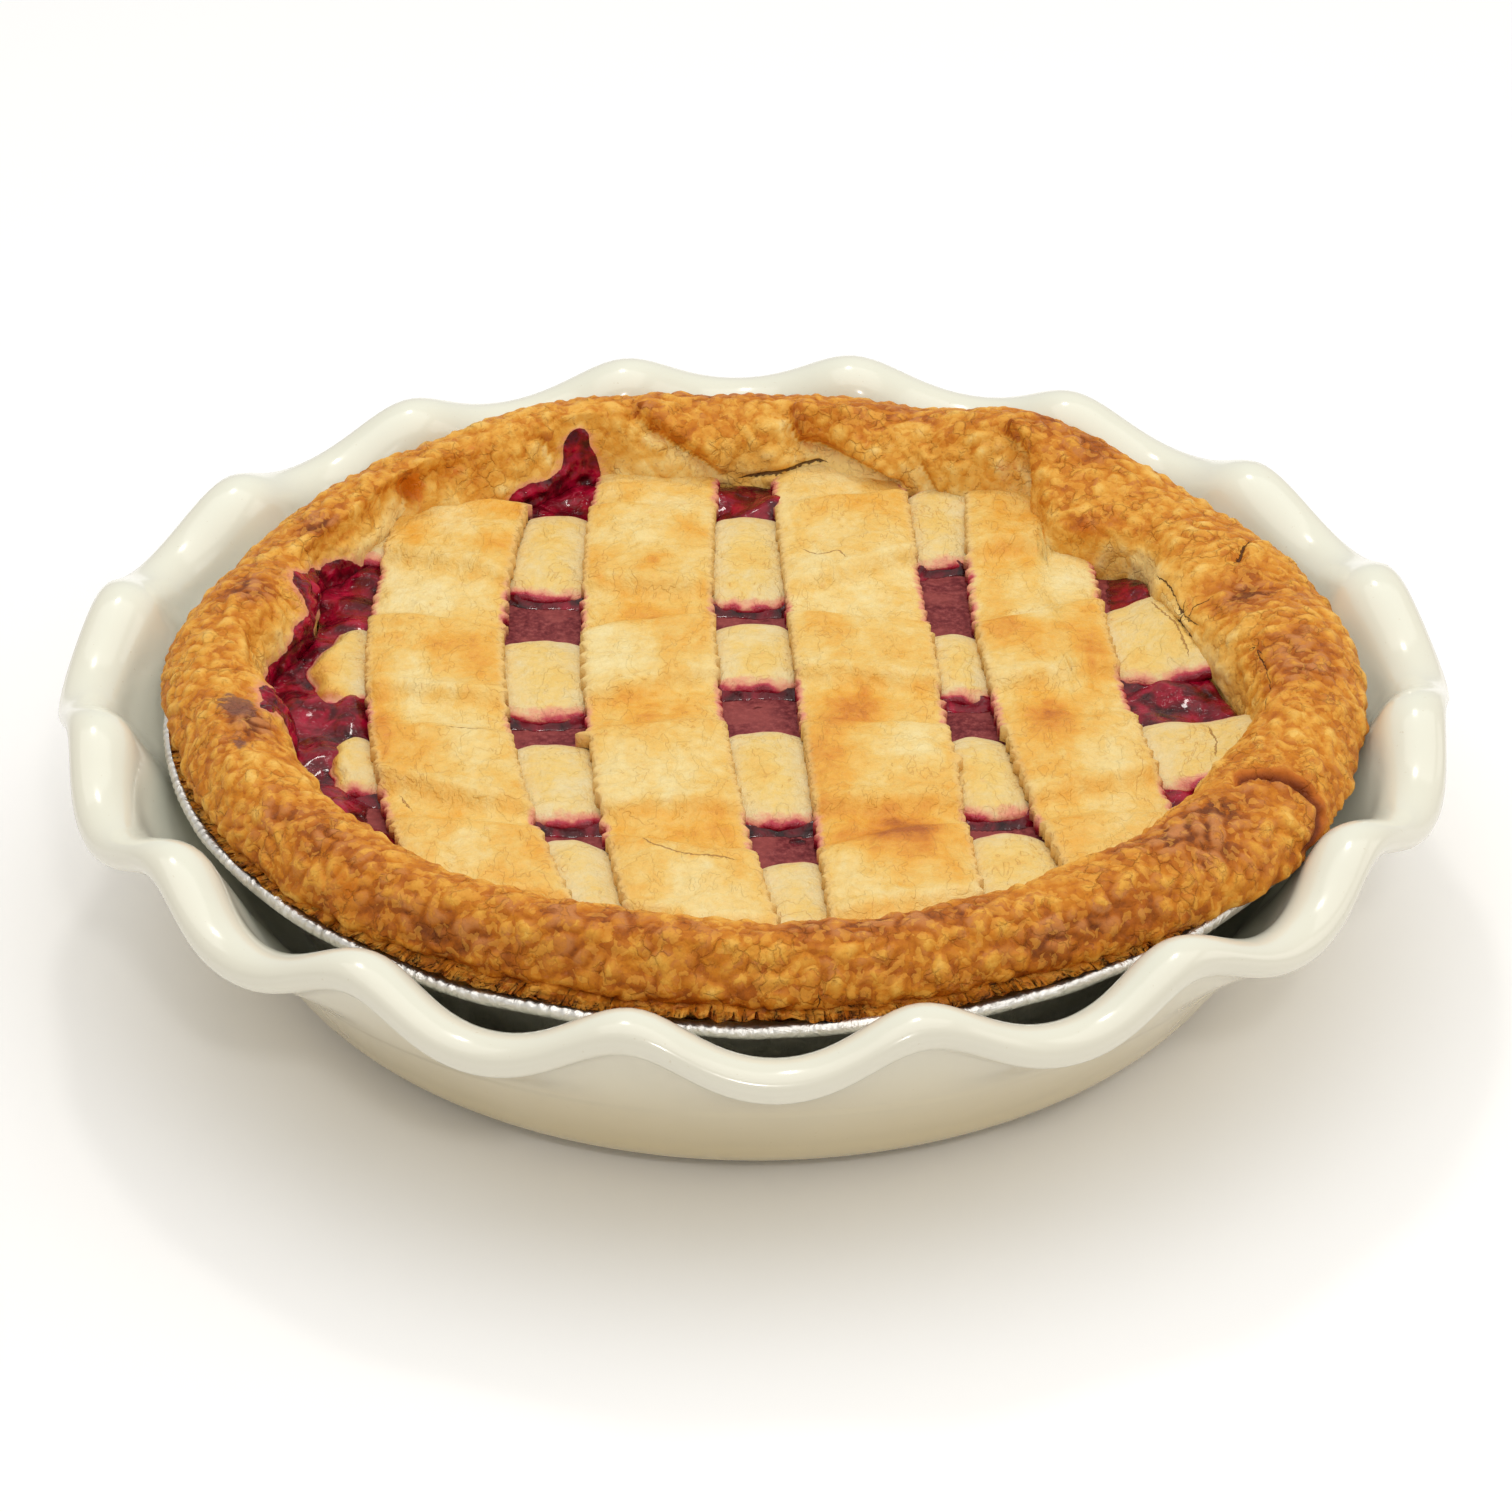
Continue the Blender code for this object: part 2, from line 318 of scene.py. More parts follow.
def makeFlakyCrumb():  # puffed flakes of baked dough
    group, entry, result = newGroup(
        "flakyCrumb",
        [("Vector", "Vector", None), ("Flake Size", "Float", 2.6 * mm)],
        [(label, "Float") for label in ("Shade", "Height", "Specks", "Chips", "Cracks")],
    )
    where = entry["Vector"]
    scale = calc(group, "DIVIDE", 1.0, entry["Flake Size"])

    def noisy(density, roughness):
        values = {"Detail": 3.0, "Roughness": roughness}
        links = {"Vector": where, "Scale": times(group, scale, density)}
        return addNode(group, "TexNoise", None, values, links).outputs

    def cells(density, feature="F1"):
        links = {"Vector": bent, "Scale": times(group, scale, density)}
        return addNode(group, "TexVoronoi", {"feature": feature}, links=links).outputs

    def numberOf(found):  # one random number for each cell
        return addNode(group, "SeparateColor", links={"Color": found["Color"]}).outputs[0]

    wobble = addNode(
        group, "VectorMath", {"operation": "SUBTRACT"}, {1: (0.5,) * 3}, {0: noisy(1.0, 0.5)["Color"]}
    ).outputs[0]
    bent = addNode(
        group, "VectorMath", {"operation": "MULTIPLY_ADD"}, {1: (3.4 * mm,) * 3},
        {0: wobble, 2: where},
    ).outputs[0]
    flakes, chips = cells(1.0), cells(2.1)
    each, chip = numberOf(flakes), numberOf(chips)
    fine = noisy(2.2, 0.6)["Fac"]
    shade = sway(group, times(group, each, 0.6), fine, 0.8)
    shade = timesPlus(group, chip, 0.4, shade)
    height = timesPlus(group, flakes["Distance"], -0.8, 1.0)
    height = timesPlus(group, chips["Distance"], -0.35, height)
    height = timesPlus(group, fine, 0.4, timesPlus(group, chip, 0.25, height))
    patchy = rise(group, grain(group, where, 6 * mm), 0.48, 0.6)
    crack = flip(group, rise(group, cells(1.0, "DISTANCE_TO_EDGE")["Distance"], 0.0, 0.09))
    specks = grain(group, where, 0.9 * mm, 1.0)
    connect(
        group, result, Shade=calc(group, "ADD", shade, 0.0, clamp=True), Height=height,
        Specks=rise(group, specks, 0.62, 0.74), Chips=rise(group, chip, 0.74, 0.8),
        Cracks=times(group, crack, patchy),
    )
    return group


def makeSplitLine():  # a ragged split where the signed distance to it is small; its mask gives the groove and the painted shade inside the split
    group, entry, result = newGroup(
        "splitLine",
        [
            ("Vector", "Vector", None), ("Away", "Float", 3.0), ("Shown", "Float", 1.0),
            ("Half Width", "Float", 0.2),
        ],
        [("Split", "Float")],
    )
    rough = grain(group, entry["Vector"], 1.1 * mm, 3.0)
    away = calc(group, "ABSOLUTE", sway(group, entry["Away"], rough, 1.1))
    width = times(group, entry["Half Width"], entry["Shown"])
    width = calc(group, "MAXIMUM", times(group, width, sway(group, 1.0, rough, 1.6)), 0.001)
    split = flip(group, calc(group, "DIVIDE", away, width))
    connect(group, result, Split=rise(group, split, 0.0, 0.55))
    return group


def makeJuiceStain():  # cherry juice soaked into dough, with a ragged edge
    group, entry, result = newGroup(
        "juiceStain",
        [("Vector", "Vector", None), ("Amount", "Float", 0.0), ("Base", "Color", None)],
        [("Color", "Color"), ("Mask", "Float")],
    )
    rough = grain(group, entry["Vector"], 1.6 * mm, 3.0, 0.6)
    amount = sway(group, entry["Amount"], rough, 0.55)
    pink = blendColour(group, rise(group, amount, 0.04, 0.42), entry["Base"], colour(226, 150, 120))
    rose = blendColour(group, rise(group, amount, 0.36, 0.62), pink, colour(186, 48, 66))
    deep = blendColour(group, rise(group, amount, 0.6, 0.9), rose, colour(132, 8, 34))
    connect(group, result, Color=deep, Mask=rise(group, amount, 0.4, 0.8))
    return group


flakyCrumb = makeFlakyCrumb()
splitLine = makeSplitLine()
juiceStain = makeJuiceStain()


def splitMask(tree, where):  # from the layers splitAway and splitShown
    links = {"Away": attribute(tree, "splitAway"), "Shown": attribute(tree, "splitShown")}
    return addGroup(tree, splitLine, {}, {"Vector": where, **links})["Split"]


# camera, floor and light

view = {
    "place": (0.0002, -0.6691, 0.4356),
    "tipDown": 0.545,
    "lens": 95.0,
    "floorSize": 6.0,
}


def makeView():
    camera = bpy.data.objects.new("camera", bpy.data.cameras.new("camera"))
    bpy.context.scene.collection.objects.link(camera)
    camera.location = view["place"]
    camera.rotation_euler = (math.pi / 2 - view["tipDown"], 0, 0)
    camera.data.lens = view["lens"]
    camera.data.sensor_width = 36
    bpy.context.scene.camera = camera
    bm = bmesh.new()
    bmesh.ops.create_grid(bm, x_segments=1, y_segments=1, size=view["floorSize"] / 2)
    mesh = bpy.data.meshes.new("floor")
    bm.to_mesh(mesh)
    bm.free()
    floor = bpy.data.objects.new("floor", mesh)
    bpy.context.scene.collection.objects.link(floor)
    pale = (0.97, 0.97, 0.97, 1)
    material, _, _ = newMaterial(
        "paleFloor", Base_Color=pale, Roughness=0.9, Specular_IOR_Level=0.1
    )
    mesh.materials.append(material)


softLights = (  # name, place, aimed at, width, height, watts
    ("overhead", (0.0, 0.0, 1.3), (0, 0, 0.03), 1.6, 1.4, 7.6),
    ("aboveCamera", (0.12, -0.85, 0.80), (0, 0, 0.03), 0.08, 0.08, 1.2),
    ("right", (1.3, 0.1, 0.75), (-0.05, 0, 0.03), 0.9, 0.9, 2.6),
    ("backTop", (-0.10, 0.55, 1.10), (0, 0, 0.03), 0.11, 0.11, 1.5),
)


def makeLight():
    scene = bpy.context.scene
    scene.view_settings.view_transform = "Standard"
    world = bpy.data.worlds.new("studio")
    scene.world = world
    world.use_nodes = True
    background = world.node_tree.nodes["Background"].inputs
    background["Color"].default_value = (1.0, 0.992, 0.98, 1)
    background["Strength"].default_value = 0.61
    for name, spot, target, width, height, watts in softLights:
        data = bpy.data.lights.new(name, "AREA")
        data.shape = "RECTANGLE"
        data.size, data.size_y = width, height
        data.energy = watts
        data.color = (1.0, 0.97, 0.93)
        lamp = bpy.data.objects.new(name, data)
        scene.collection.objects.link(lamp)
        lamp.location = spot
        lamp.rotation_euler = (Vector(target) - Vector(spot)).to_track_quat("-Z", "Y").to_euler()


makeView()
makeLight()
print("camera, floor and lights placed")


# dish

dish = {
    "ruffles": 16,
    "phase": 0.4529,  # radians of the wave at +X
    "skew": 0.194,
    "out": 1.16 * mm,
    "down": 3.7 * mm,
    "handmade": 0.35 * mm,
    "fluteStart": 24 * mm,
    "rimHeight": 48.5 * mm,
    "footRadius": 87 * mm,
    "footRecess": 2.2 * mm,
    "floor": 7.5 * mm,
    "stepsPerRuffle": 24,
    "spacing": 1.2 * mm,
    "lipEnds": (150 * mm, 156 * mm),  # along the section from the middle of the foot
    "innerWallStarts": (157 * mm, 166 * mm),
}


def makeGlaze():
    material, tree, shader = newMaterial("creamGlaze", IOR=1.5, Coat_Weight=0.35, Coat_Roughness=0.05)
    where = place(tree)
    cloud = grain(tree, where, 45 * mm, 3.0)
    # painted shade and light: the outer wall is darkened towards its foot as painted shade, and the inner
    # glaze is a lighter, cooler copy of the same cream, painted light against the shade and warm bounce
    # inside the dish
    lower = flip(tree, rise(tree, upward(tree, where), 4 * mm, 50 * mm))
    lower = times(tree, lower, attribute(tree, "outside"))
    base = blendColour(tree, attribute(tree, "inside"), colour(221, 216, 197), colour(232, 234, 217))
    base = blendColour(tree, lower, base, colour(212, 193, 148))
    base = tint(tree, base, cloud, 0.25, colour(237, 231, 213))
    pits = grain(tree, where, 0.8 * mm, 1.0)
    base = tint(tree, base, rise(tree, pits, 0.74, 0.80), 0.25, colour(190, 170, 130))
    waves = grain(tree, where, 9 * mm, 1.0)
    rough = timesPlus(tree, cloud, 0.12, 0.12)
    connect(
        tree, shader.inputs, Base_Color=base, Roughness=rough,
        Normal=relief(tree, waves, 0.2 * mm, 0.4),
    )
    return material


def makeDish():
    foot, recess = dish["footRadius"], dish["footRecess"]
    wall = smoothLine(
        (
            (foot, 0.0), (0.0934, 0.0018), (0.0976, 0.0050), (0.1012, 0.0107), (0.1100, 0.0240),
            (0.1166, 0.0328), (0.1236, 0.0410), (0.1280, 0.0444), (0.1318, 0.0464),
            (0.1332, 0.0490), (0.1318, 0.0514), (0.1270, 0.0518), (0.1226, 0.0494),
            (0.1196, 0.0446), (0.1140, 0.0364), (0.1056, 0.0260), (0.0984, 0.0145),
            (0.0932, 0.0093), (0.0890, dish["floor"]),
        ),
        dish["spacing"],
    )
    line = [
        (0.0, recess), (foot - 0.010, recess), (foot - 0.0085, recess * 0.4), (foot - 0.0076, 0.0),
        *wall, (0.0, dish["floor"]),
    ]
    bm = turned(line, dish["ruffles"] * dish["stepsPerRuffle"], dish["phase"] / dish["ruffles"])
    along, sides = bm.verts.layers.float["along"], addLayers(bm, "outside", "inside")
    for vert in bm.verts:
        radius, angle, height = polar(vert.co)
        outside = 1 - smoothStep(*dish["lipEnds"], vert[along])
        inside = smoothStep(*dish["innerWallStarts"], vert[along])
        setLayers(vert, sides, outside=outside, inside=inside)
        if radius < foot or height < dish["fluteStart"]:
            continue
        turn = dish["ruffles"] * angle - dish["phase"]
        wave = math.cos(turn - dish["skew"] * math.sin(turn))
        wave *= smoothStep(dish["fluteStart"], dish["rimHeight"], height)
        radius += dish["out"] * wave + dish["handmade"] * lumps(vert.co, 60 * mm)
        vert.co = fromPolar(radius, angle, height - dish["down"] * wave)
    finishPiece("ruffledDish", bm, makeGlaze(), "dish")


makeDish()


# foil tin

pieCentre = Vector((0.7 * mm, -1.9 * mm, 0))

tin = {
    "baseRadius": 86.2 * mm,
    "mouthRadius": 107.8 * mm,
    "flangeHeight": 43.9 * mm,
    "shoulderRadius": 93.0 * mm,
    "shoulderHeight": 13.0 * mm,
    "beadRadius": 113.1 * mm,
    "beadThick": 2.4 * mm,
    "rimHeight": 46.3 * mm,
    "foil": 0.5 * mm,
    "crimps": 330,
    "crimpDepth": 0.28 * mm,
    "wallFlutes": 90,
    "fluteDepth": 0.25 * mm,
    "dent": 0.8 * mm,
}


def makeFoil():
    material, tree, shader = newMaterial("crumpledFoil", Metallic=1.0)
    where = place(tree)
    crumple = grain(tree, where, 5 * mm, 4.0, 0.6, 0.6)
    dull = grain(tree, where, 14 * mm, 2.0)
    shade = ramp(tree, dull, (0.3, 223.3, 219.2, 212.3), (0.7, 243.5, 241.1, 236.2))
    rough = timesPlus(tree, dull, 0.25, 0.3)
    connect(
        tree, shader.inputs, Base_Color=shade, Roughness=rough,
        Normal=relief(tree, crumple, 1.1 * mm, 0.9),
    )
    return material


def tinWall(offset):  # the section from the axis to the flange, moved in by offset
    floor = dish["floor"] + 0.3 * mm
    mouth = tin["mouthRadius"]
    return [
        (0.0, floor + offset),
        (tin["baseRadius"] - offset * 0.3, floor + offset),
        (tin["shoulderRadius"] - offset * 0.8, tin["shoulderHeight"] + offset * 0.6),
        (mouth - offset, tin["flangeHeight"] - 1.0 * mm + offset * 0.6),
        (mouth + 1.4 * mm, tin["flangeHeight"] + offset),
    ]


def makeTin():
    half = tin["beadThick"] / 2
    bead = [
        (
            tin["beadRadius"] + half * math.cos(math.radians(turn)),
            tin["rimHeight"] - half + half * math.sin(math.radians(turn)),
        )
        for turn in range(-130, 171, 20)
    ]
    line = tinWall(0.0) + bead + tinWall(tin["foil"])[::-1]
    bm = turned(line, tin["crimps"] * 4)
    for vert in bm.verts:
        radius, angle, height = polar(vert.co)
        rolled = smoothStep(tin["mouthRadius"], tin["beadRadius"] - half, radius)
        uneven = 0.4 + 0.9 * lumps(vert.co, 5 * mm)
        crimp = tin["crimpDepth"] * uneven * math.cos(tin["crimps"] * angle) * rolled
        flute = tin["fluteDepth"] * math.cos(tin["wallFlutes"] * angle) * (1 - rolled)
        flute *= smoothStep(14 * mm, 30 * mm, height) * (radius > tin["baseRadius"])
        dent = tin["dent"] * lumps(vert.co, 14 * mm, 3.0) * rolled
        vert.co = fromPolar(radius + crimp + flute, angle, height + crimp + dent)
    bmesh.ops.translate(bm, vec=pieCentre, verts=bm.verts)
    finishPiece("foilTin", bm, makeFoil(), "foil_tin")


makeTin()


# crust

crust = {
    "steps": 900,
    "spacing": 0.6 * mm,
    "edgeRadius": 115.6 * mm,
    "crestRadius": 102 * mm,
    "innerRadius": 91.2 * mm,
    "underside": 46.9 * mm,
    "crestHeight": 58.4 * mm,
    "floor": 12.6 * mm,
    "fillingTop": 41.5 * mm,
    "shortFront": 5.4 * mm,
    "frontSpread": 45,
    "longRight": 0.9 * mm,
    "perDegree": 1.83,  # millimetres round the crest for one degree
    "toastedFrom": 49 * mm,
    "toastedFully": 56 * mm,
}
# direction, spread, how far the inner edge moves out, how much the crest rises
crustFolds = (
    (14, 5, 0.0, -0.0036), (15, 11, -0.0055, 0.0002), (33, 4, 0.0030, 0.0),
    (36, 15, 0.0, -0.0030), (43, 7, -0.0085, 0.0008), (55, 4, 0.0055, 0.0),
    (58, 8, 0.0, 0.0036), (72, 6, 0.0, -0.0016), (82, 4, 0.0060, -0.0005),
    (112, 8, 0.0070, 0.0), (118, 9, 0.0, 0.0026), (136, 11, 0.0090, 0.0),
    (154, 7, 0.0070, 0.0), (155, 13, 0.0, -0.0032), (178, 7, 0.0050, 0.0),
    (350, 8, 0.0040, 0.0),
)
crustEdgeFolds = ((178, 7, 0.0010), (199, 14, -0.0024), (217, 9, -0.0016), (325, 9, 0.0018))
crustUneven = ((3, 0.0003, 0.4), (7, 0.0003, 2.1), (12, 0.0003, 4.0))  # waves, height, turn

# Where one lap of dough lies over the next: points of its edge as degrees round the rim and
# millimetres across it from the outside, then lift and fade of the upper lap and depth beside it.
crustLaps = (
    (
        ((105.3, 25), (105.5, 28.2), (105, 32.2), (103, 35.2), (101.5, 37.2), (98, 40.8), (94.5, 46)),
        1.8, 8, 1.6,
    ),
    (((86.5, 25.5), (86, 33), (85, 38.4), (81.5, 41), (77, 41.6), (72.5, 44.2), (70, 45)), 1.9, 8, 1.6),
    (((59.5, 27), (58.5, 31.2), (56.5, 33.5), (55, 36), (53, 40.2), (51.5, 45)), 2.0, 9, 1.8),
    (((68.2, 36), (68.4, 38), (67.6, 40.5), (66.5, 43.5), (65, 47)), 1.0, 5, 0.9),
    (((137.5, 29), (136.6, 33), (136, 37), (136.4, 41), (138.5, 45)), 1.3, 6, 1.2),
    (
        ((326, 9.5), (328.6, 11.6), (330.3, 14), (331, 17), (330.9, 20), (330, 23.5), (328, 28)),
        0.9, 14, 3.6,
    ),
    (((118.3, 33.5), (117.2, 36.5), (116.4, 41)), 0.8, 6, 0.5),
)
arcLap = 5  # the wide open gap at the right
# Splits: the same kind of points, half width and depth in millimetres.
crustSplits = (
    (((23.5, 20.2), (21.9, 23.5), (19.8, 26.5), (18.5, 28.8)), 0.42, 1.0),
    (((27, 46.8), (22.5, 45.2), (18.5, 43.6), (14.5, 42.6), (10.5, 43.6), (8, 45.6)), 0.24, 0.5),
    (((14, 40.5), (15, 36), (14.5, 32.2)), 0.16, 0.3),
    (((2.5, 36), (359.5, 34), (356.5, 33)), 0.16, 0.3),
    (((275, 6), (275.4, 8.5), (275.2, 11)), 0.25, 0.4),
    (((255, 8), (254.6, 10.5)), 0.25, 0.4),
    (((140.5, 48.6), (143, 49.6)), 0.2, 0.3),
    (((155, 28.2), (153, 29), (151, 31)), 0.16, 0.3),
    (((131.2, 33.6), (130, 34.8), (129.2, 35.2)), 0.3, 0.5),
    (((26, 40.5), (21, 39.2), (16, 40), (11, 38.6)), 0.24, 0.5),
    (((17, 45), (15.6, 41), (17, 36.5)), 0.22, 0.5),
    # the next one marks the dark gap under the rim at the back with a groove and painted shade
    (((93, 46), (89, 45.2), (85, 44.6), (81, 44.4)), 0.5, 1.0),
)
# Spots: degrees, millimetres across, size in millimetres round and across, amount.
paleSpots = (
    (106, 44, 7, 3, 0.4), (99, 44, 6, 3, 0.35), (79, 45, 9, 3, 0.8), (139.5, 44, 6, 5, 0.9),
    (18, 40, 16, 7, 0.75), (30, 44, 8, 5, 0.9), (4, 43, 8, 5, 0.6), (112, 33, 7, 6, 0.4),
    (146, 43, 10, 4, 0.5), (170, 40, 9, 4, 0.4), (335, 40, 8, 4, 0.4), (48, 47, 10, 3, 0.5),
)
darkSpots = (
    (198, 29, 7, 5, 0.5), (168, 26, 8, 5, 0.35), (151, 27, 7, 4, 0.35), (95, 20, 16, 6, 0.25),
    (75, 24, 10, 6, 0.22), (50, 24, 14, 8, 0.2), (12, 30, 8, 7, 0.4), (355, 26, 12, 8, 0.3),
    (318, 25, 16, 8, 0.38), (283, 27, 22, 6, 0.35), (255, 26, 18, 5, 0.25), (222, 24, 16, 6, 0.25),
    (240, 12, 20, 5, 0.25), (300, 14, 16, 5, 0.25), (40, 37, 5, 3, 0.25),
)
burntSpots = ((195, 28.5, 5.5, 4, 1.0), (203, 25.5, 2.6, 1.6, 0.9))
caramelSpots = (
    (135.2, 37.5, 2.0, 4.4, 1.1), (130, 36, 4, 1.8, 0.6), (127, 39.5, 2.4, 1.6, 0.6),
    (137, 34, 1.4, 5, 0.7), (136, 47.6, 2.4, 2.2, 1.2), (40, 37, 2.2, 1.6, 0.8), (57, 39, 3, 4, 0.35),
    (15.5, 36.8, 5, 2, 0.4), (102.5, 33, 3, 4, 0.4), (84, 37, 3, 4, 0.35), (126, 30, 3, 2, 0.4),
    (228, 14, 6, 4, 0.45),
)
juiceSpots = (
    (112.6, 36.9, 2.3, 1.5, 1.2), (113.2, 38.8, 2.9, 1.8, 1.3), (112.8, 41.3, 3.4, 2.0, 1.4),
    (112.8, 44.0, 4.0, 2.4, 1.4), (113.4, 47.0, 4.8, 3.0, 1.5), (116.7, 44.8, 3.6, 2.2, 1.3),
    (120.0, 44.6, 3.6, 2.3, 1.3), (122.6, 45.2, 2.4, 2.2, 1.2), (118.0, 48.8, 9.0, 2.6, 1.4),
    (190.0, 38.0, 5.0, 4.4, 1.3), (193.6, 34.6, 2.4, 1.6, 1.0), (189.0, 44.5, 7, 4.0, 1.4),
    (178.0, 47.5, 22, 3.6, 1.4), (148.0, 50.0, 8, 4.0, 1.2), (152.0, 45.5, 6, 4.0, 1.2),
    (157.5, 42.0, 5, 4.5, 1.2), (162.0, 38.0, 5, 6.0, 1.35), (168.0, 44.0, 6, 4.0, 1.2),
)


def spotAmount(spots, degrees, across):
    total = 0.0
    for direction, middle, long, wide, amount in spots:
        away = turnFrom(direction, degrees) * crust["perDegree"] / long
        if abs(away) < 2.5 and abs(across - middle) < 2.5 * wide:
            total += amount * bell(math.hypot(away, (across - middle) / wide))
    return total


def innerPush(degrees):
    return sum(push * bump(degrees, direction, spread) for direction, spread, push, _ in crustFolds)


def crestLift(degrees):
    lift = sum(high * bump(degrees, direction, spread) for direction, spread, _, high in crustFolds)
    turn = math.radians(degrees)
    return lift + sum(high * math.sin(waves * turn + phase) for waves, high, phase in crustUneven)


def outerPush(degrees):
    front = math.exp(-((turnFrom(-90, degrees) / crust["frontSpread"]) ** 4))
    folds = sum(push * bump(degrees, direction, spread) for direction, spread, push in crustEdgeFolds)
    return crust["longRight"] * math.cos(math.radians(degrees)) - crust["shortFront"] * front + folds


def insideProfile(offset):
    return [
        (0.0, crust["floor"] + offset),
        (80.5 * mm - offset, crust["floor"] + offset),
        (88 * mm - offset, 26 * mm + offset * 0.3),
        (91 * mm - offset, 40 * mm),
    ]


def crustShape(degrees, radius, height):
    crest, within = crust["crestRadius"], crust["innerRadius"]
    inner = smoothStep(0.0, 1.0, (crest - radius) / (crest - within))
    lowest = crust["floor"] if radius <= within else crust["fillingTop"]
    inner *= height > lowest - 1e-6
    outer = smoothStep(crest, crust["edgeRadius"], radius) * (height > crust["underside"] - 1e-6)
    up = smoothStep(crust["underside"], crust["crestHeight"], height)
    radius += inner * innerPush(degrees) + outer * outerPush(degrees)
    return radius, height + up * crestLift(degrees)


def lineAway(points, degrees, across):  # signed distance in millimetres, share shown at the ends
    middle = points[len(points) // 2][0]
    line = [((a - middle) * crust["perDegree"], b) for a, b in points]
    here = (turnFrom(middle, degrees) * crust["perDegree"], across)
    if abs(here[0]) > 26:
        return 99.0, 0.0
    away, reached, length = awayFromLine(here, line)
    return away, smoothStep(0, 4, reached) * smoothStep(0, 3, length - reached)


def lapHeight(degrees, across):  # millimetres of rise, the upper lap's edge (browned, partly as painted shade under its overhang), the lower lap's edge, and the gap (painted shade in the trench)
    total, upper, under, gap = 0.0, 0.0, 0.0, 0.0
    for number, (points, lift, fade, groove) in enumerate(crustLaps):
        away, ends = lineAway(points, degrees, across)
        if number == arcLap:
            away += 1.5 * ends  # a trench, whose far wall shows
            # painted shade in the trench, darkest just under the upper lap's edge
            gap = ends * bell((away + 0.8) / (1.0 if away > -0.8 else 2.2))
        if away > 0:
            step = mixValue(-groove, lift, smoothStep(0, 1.7, away))
            total += ends * step * math.exp(-max(away - 1.7, 0) / fade)
            upper = max(upper, ends * math.exp(-away / 2.6))
        else:
            total -= ends * groove * bell(away / 1.9)
            under = max(under, ends * math.exp(away / 3.5))
    return total, upper, under, gap


def splitDepth(degrees, across):  # depth in millimetres, signed distance, share shown
    depth, nearest, shown = 0.0, 3.0, 0.0
    for points, halfWidth, deep in crustSplits:
        away, ends = lineAway(points, degrees, across)
        if abs(away) < 3:
            depth += ends * deep * bell(away / 0.7)
            if abs(away) < abs(nearest):
                nearest, shown = away, ends * smoothStep(2.4, 1.2, abs(away)) * halfWidth / 0.2
    return depth, nearest, shown


def wrinkles(degrees, across):  # thin ones, beside the gap at the right
    if not (331 < degrees < 344 and across > 8):
        return 0.0
    way = (degrees - 331) * crust["perDegree"]
    return 0.22 * math.sin(way * math.tau / 2.1) * math.exp(-way / 10) * smoothStep(0, 3, way)


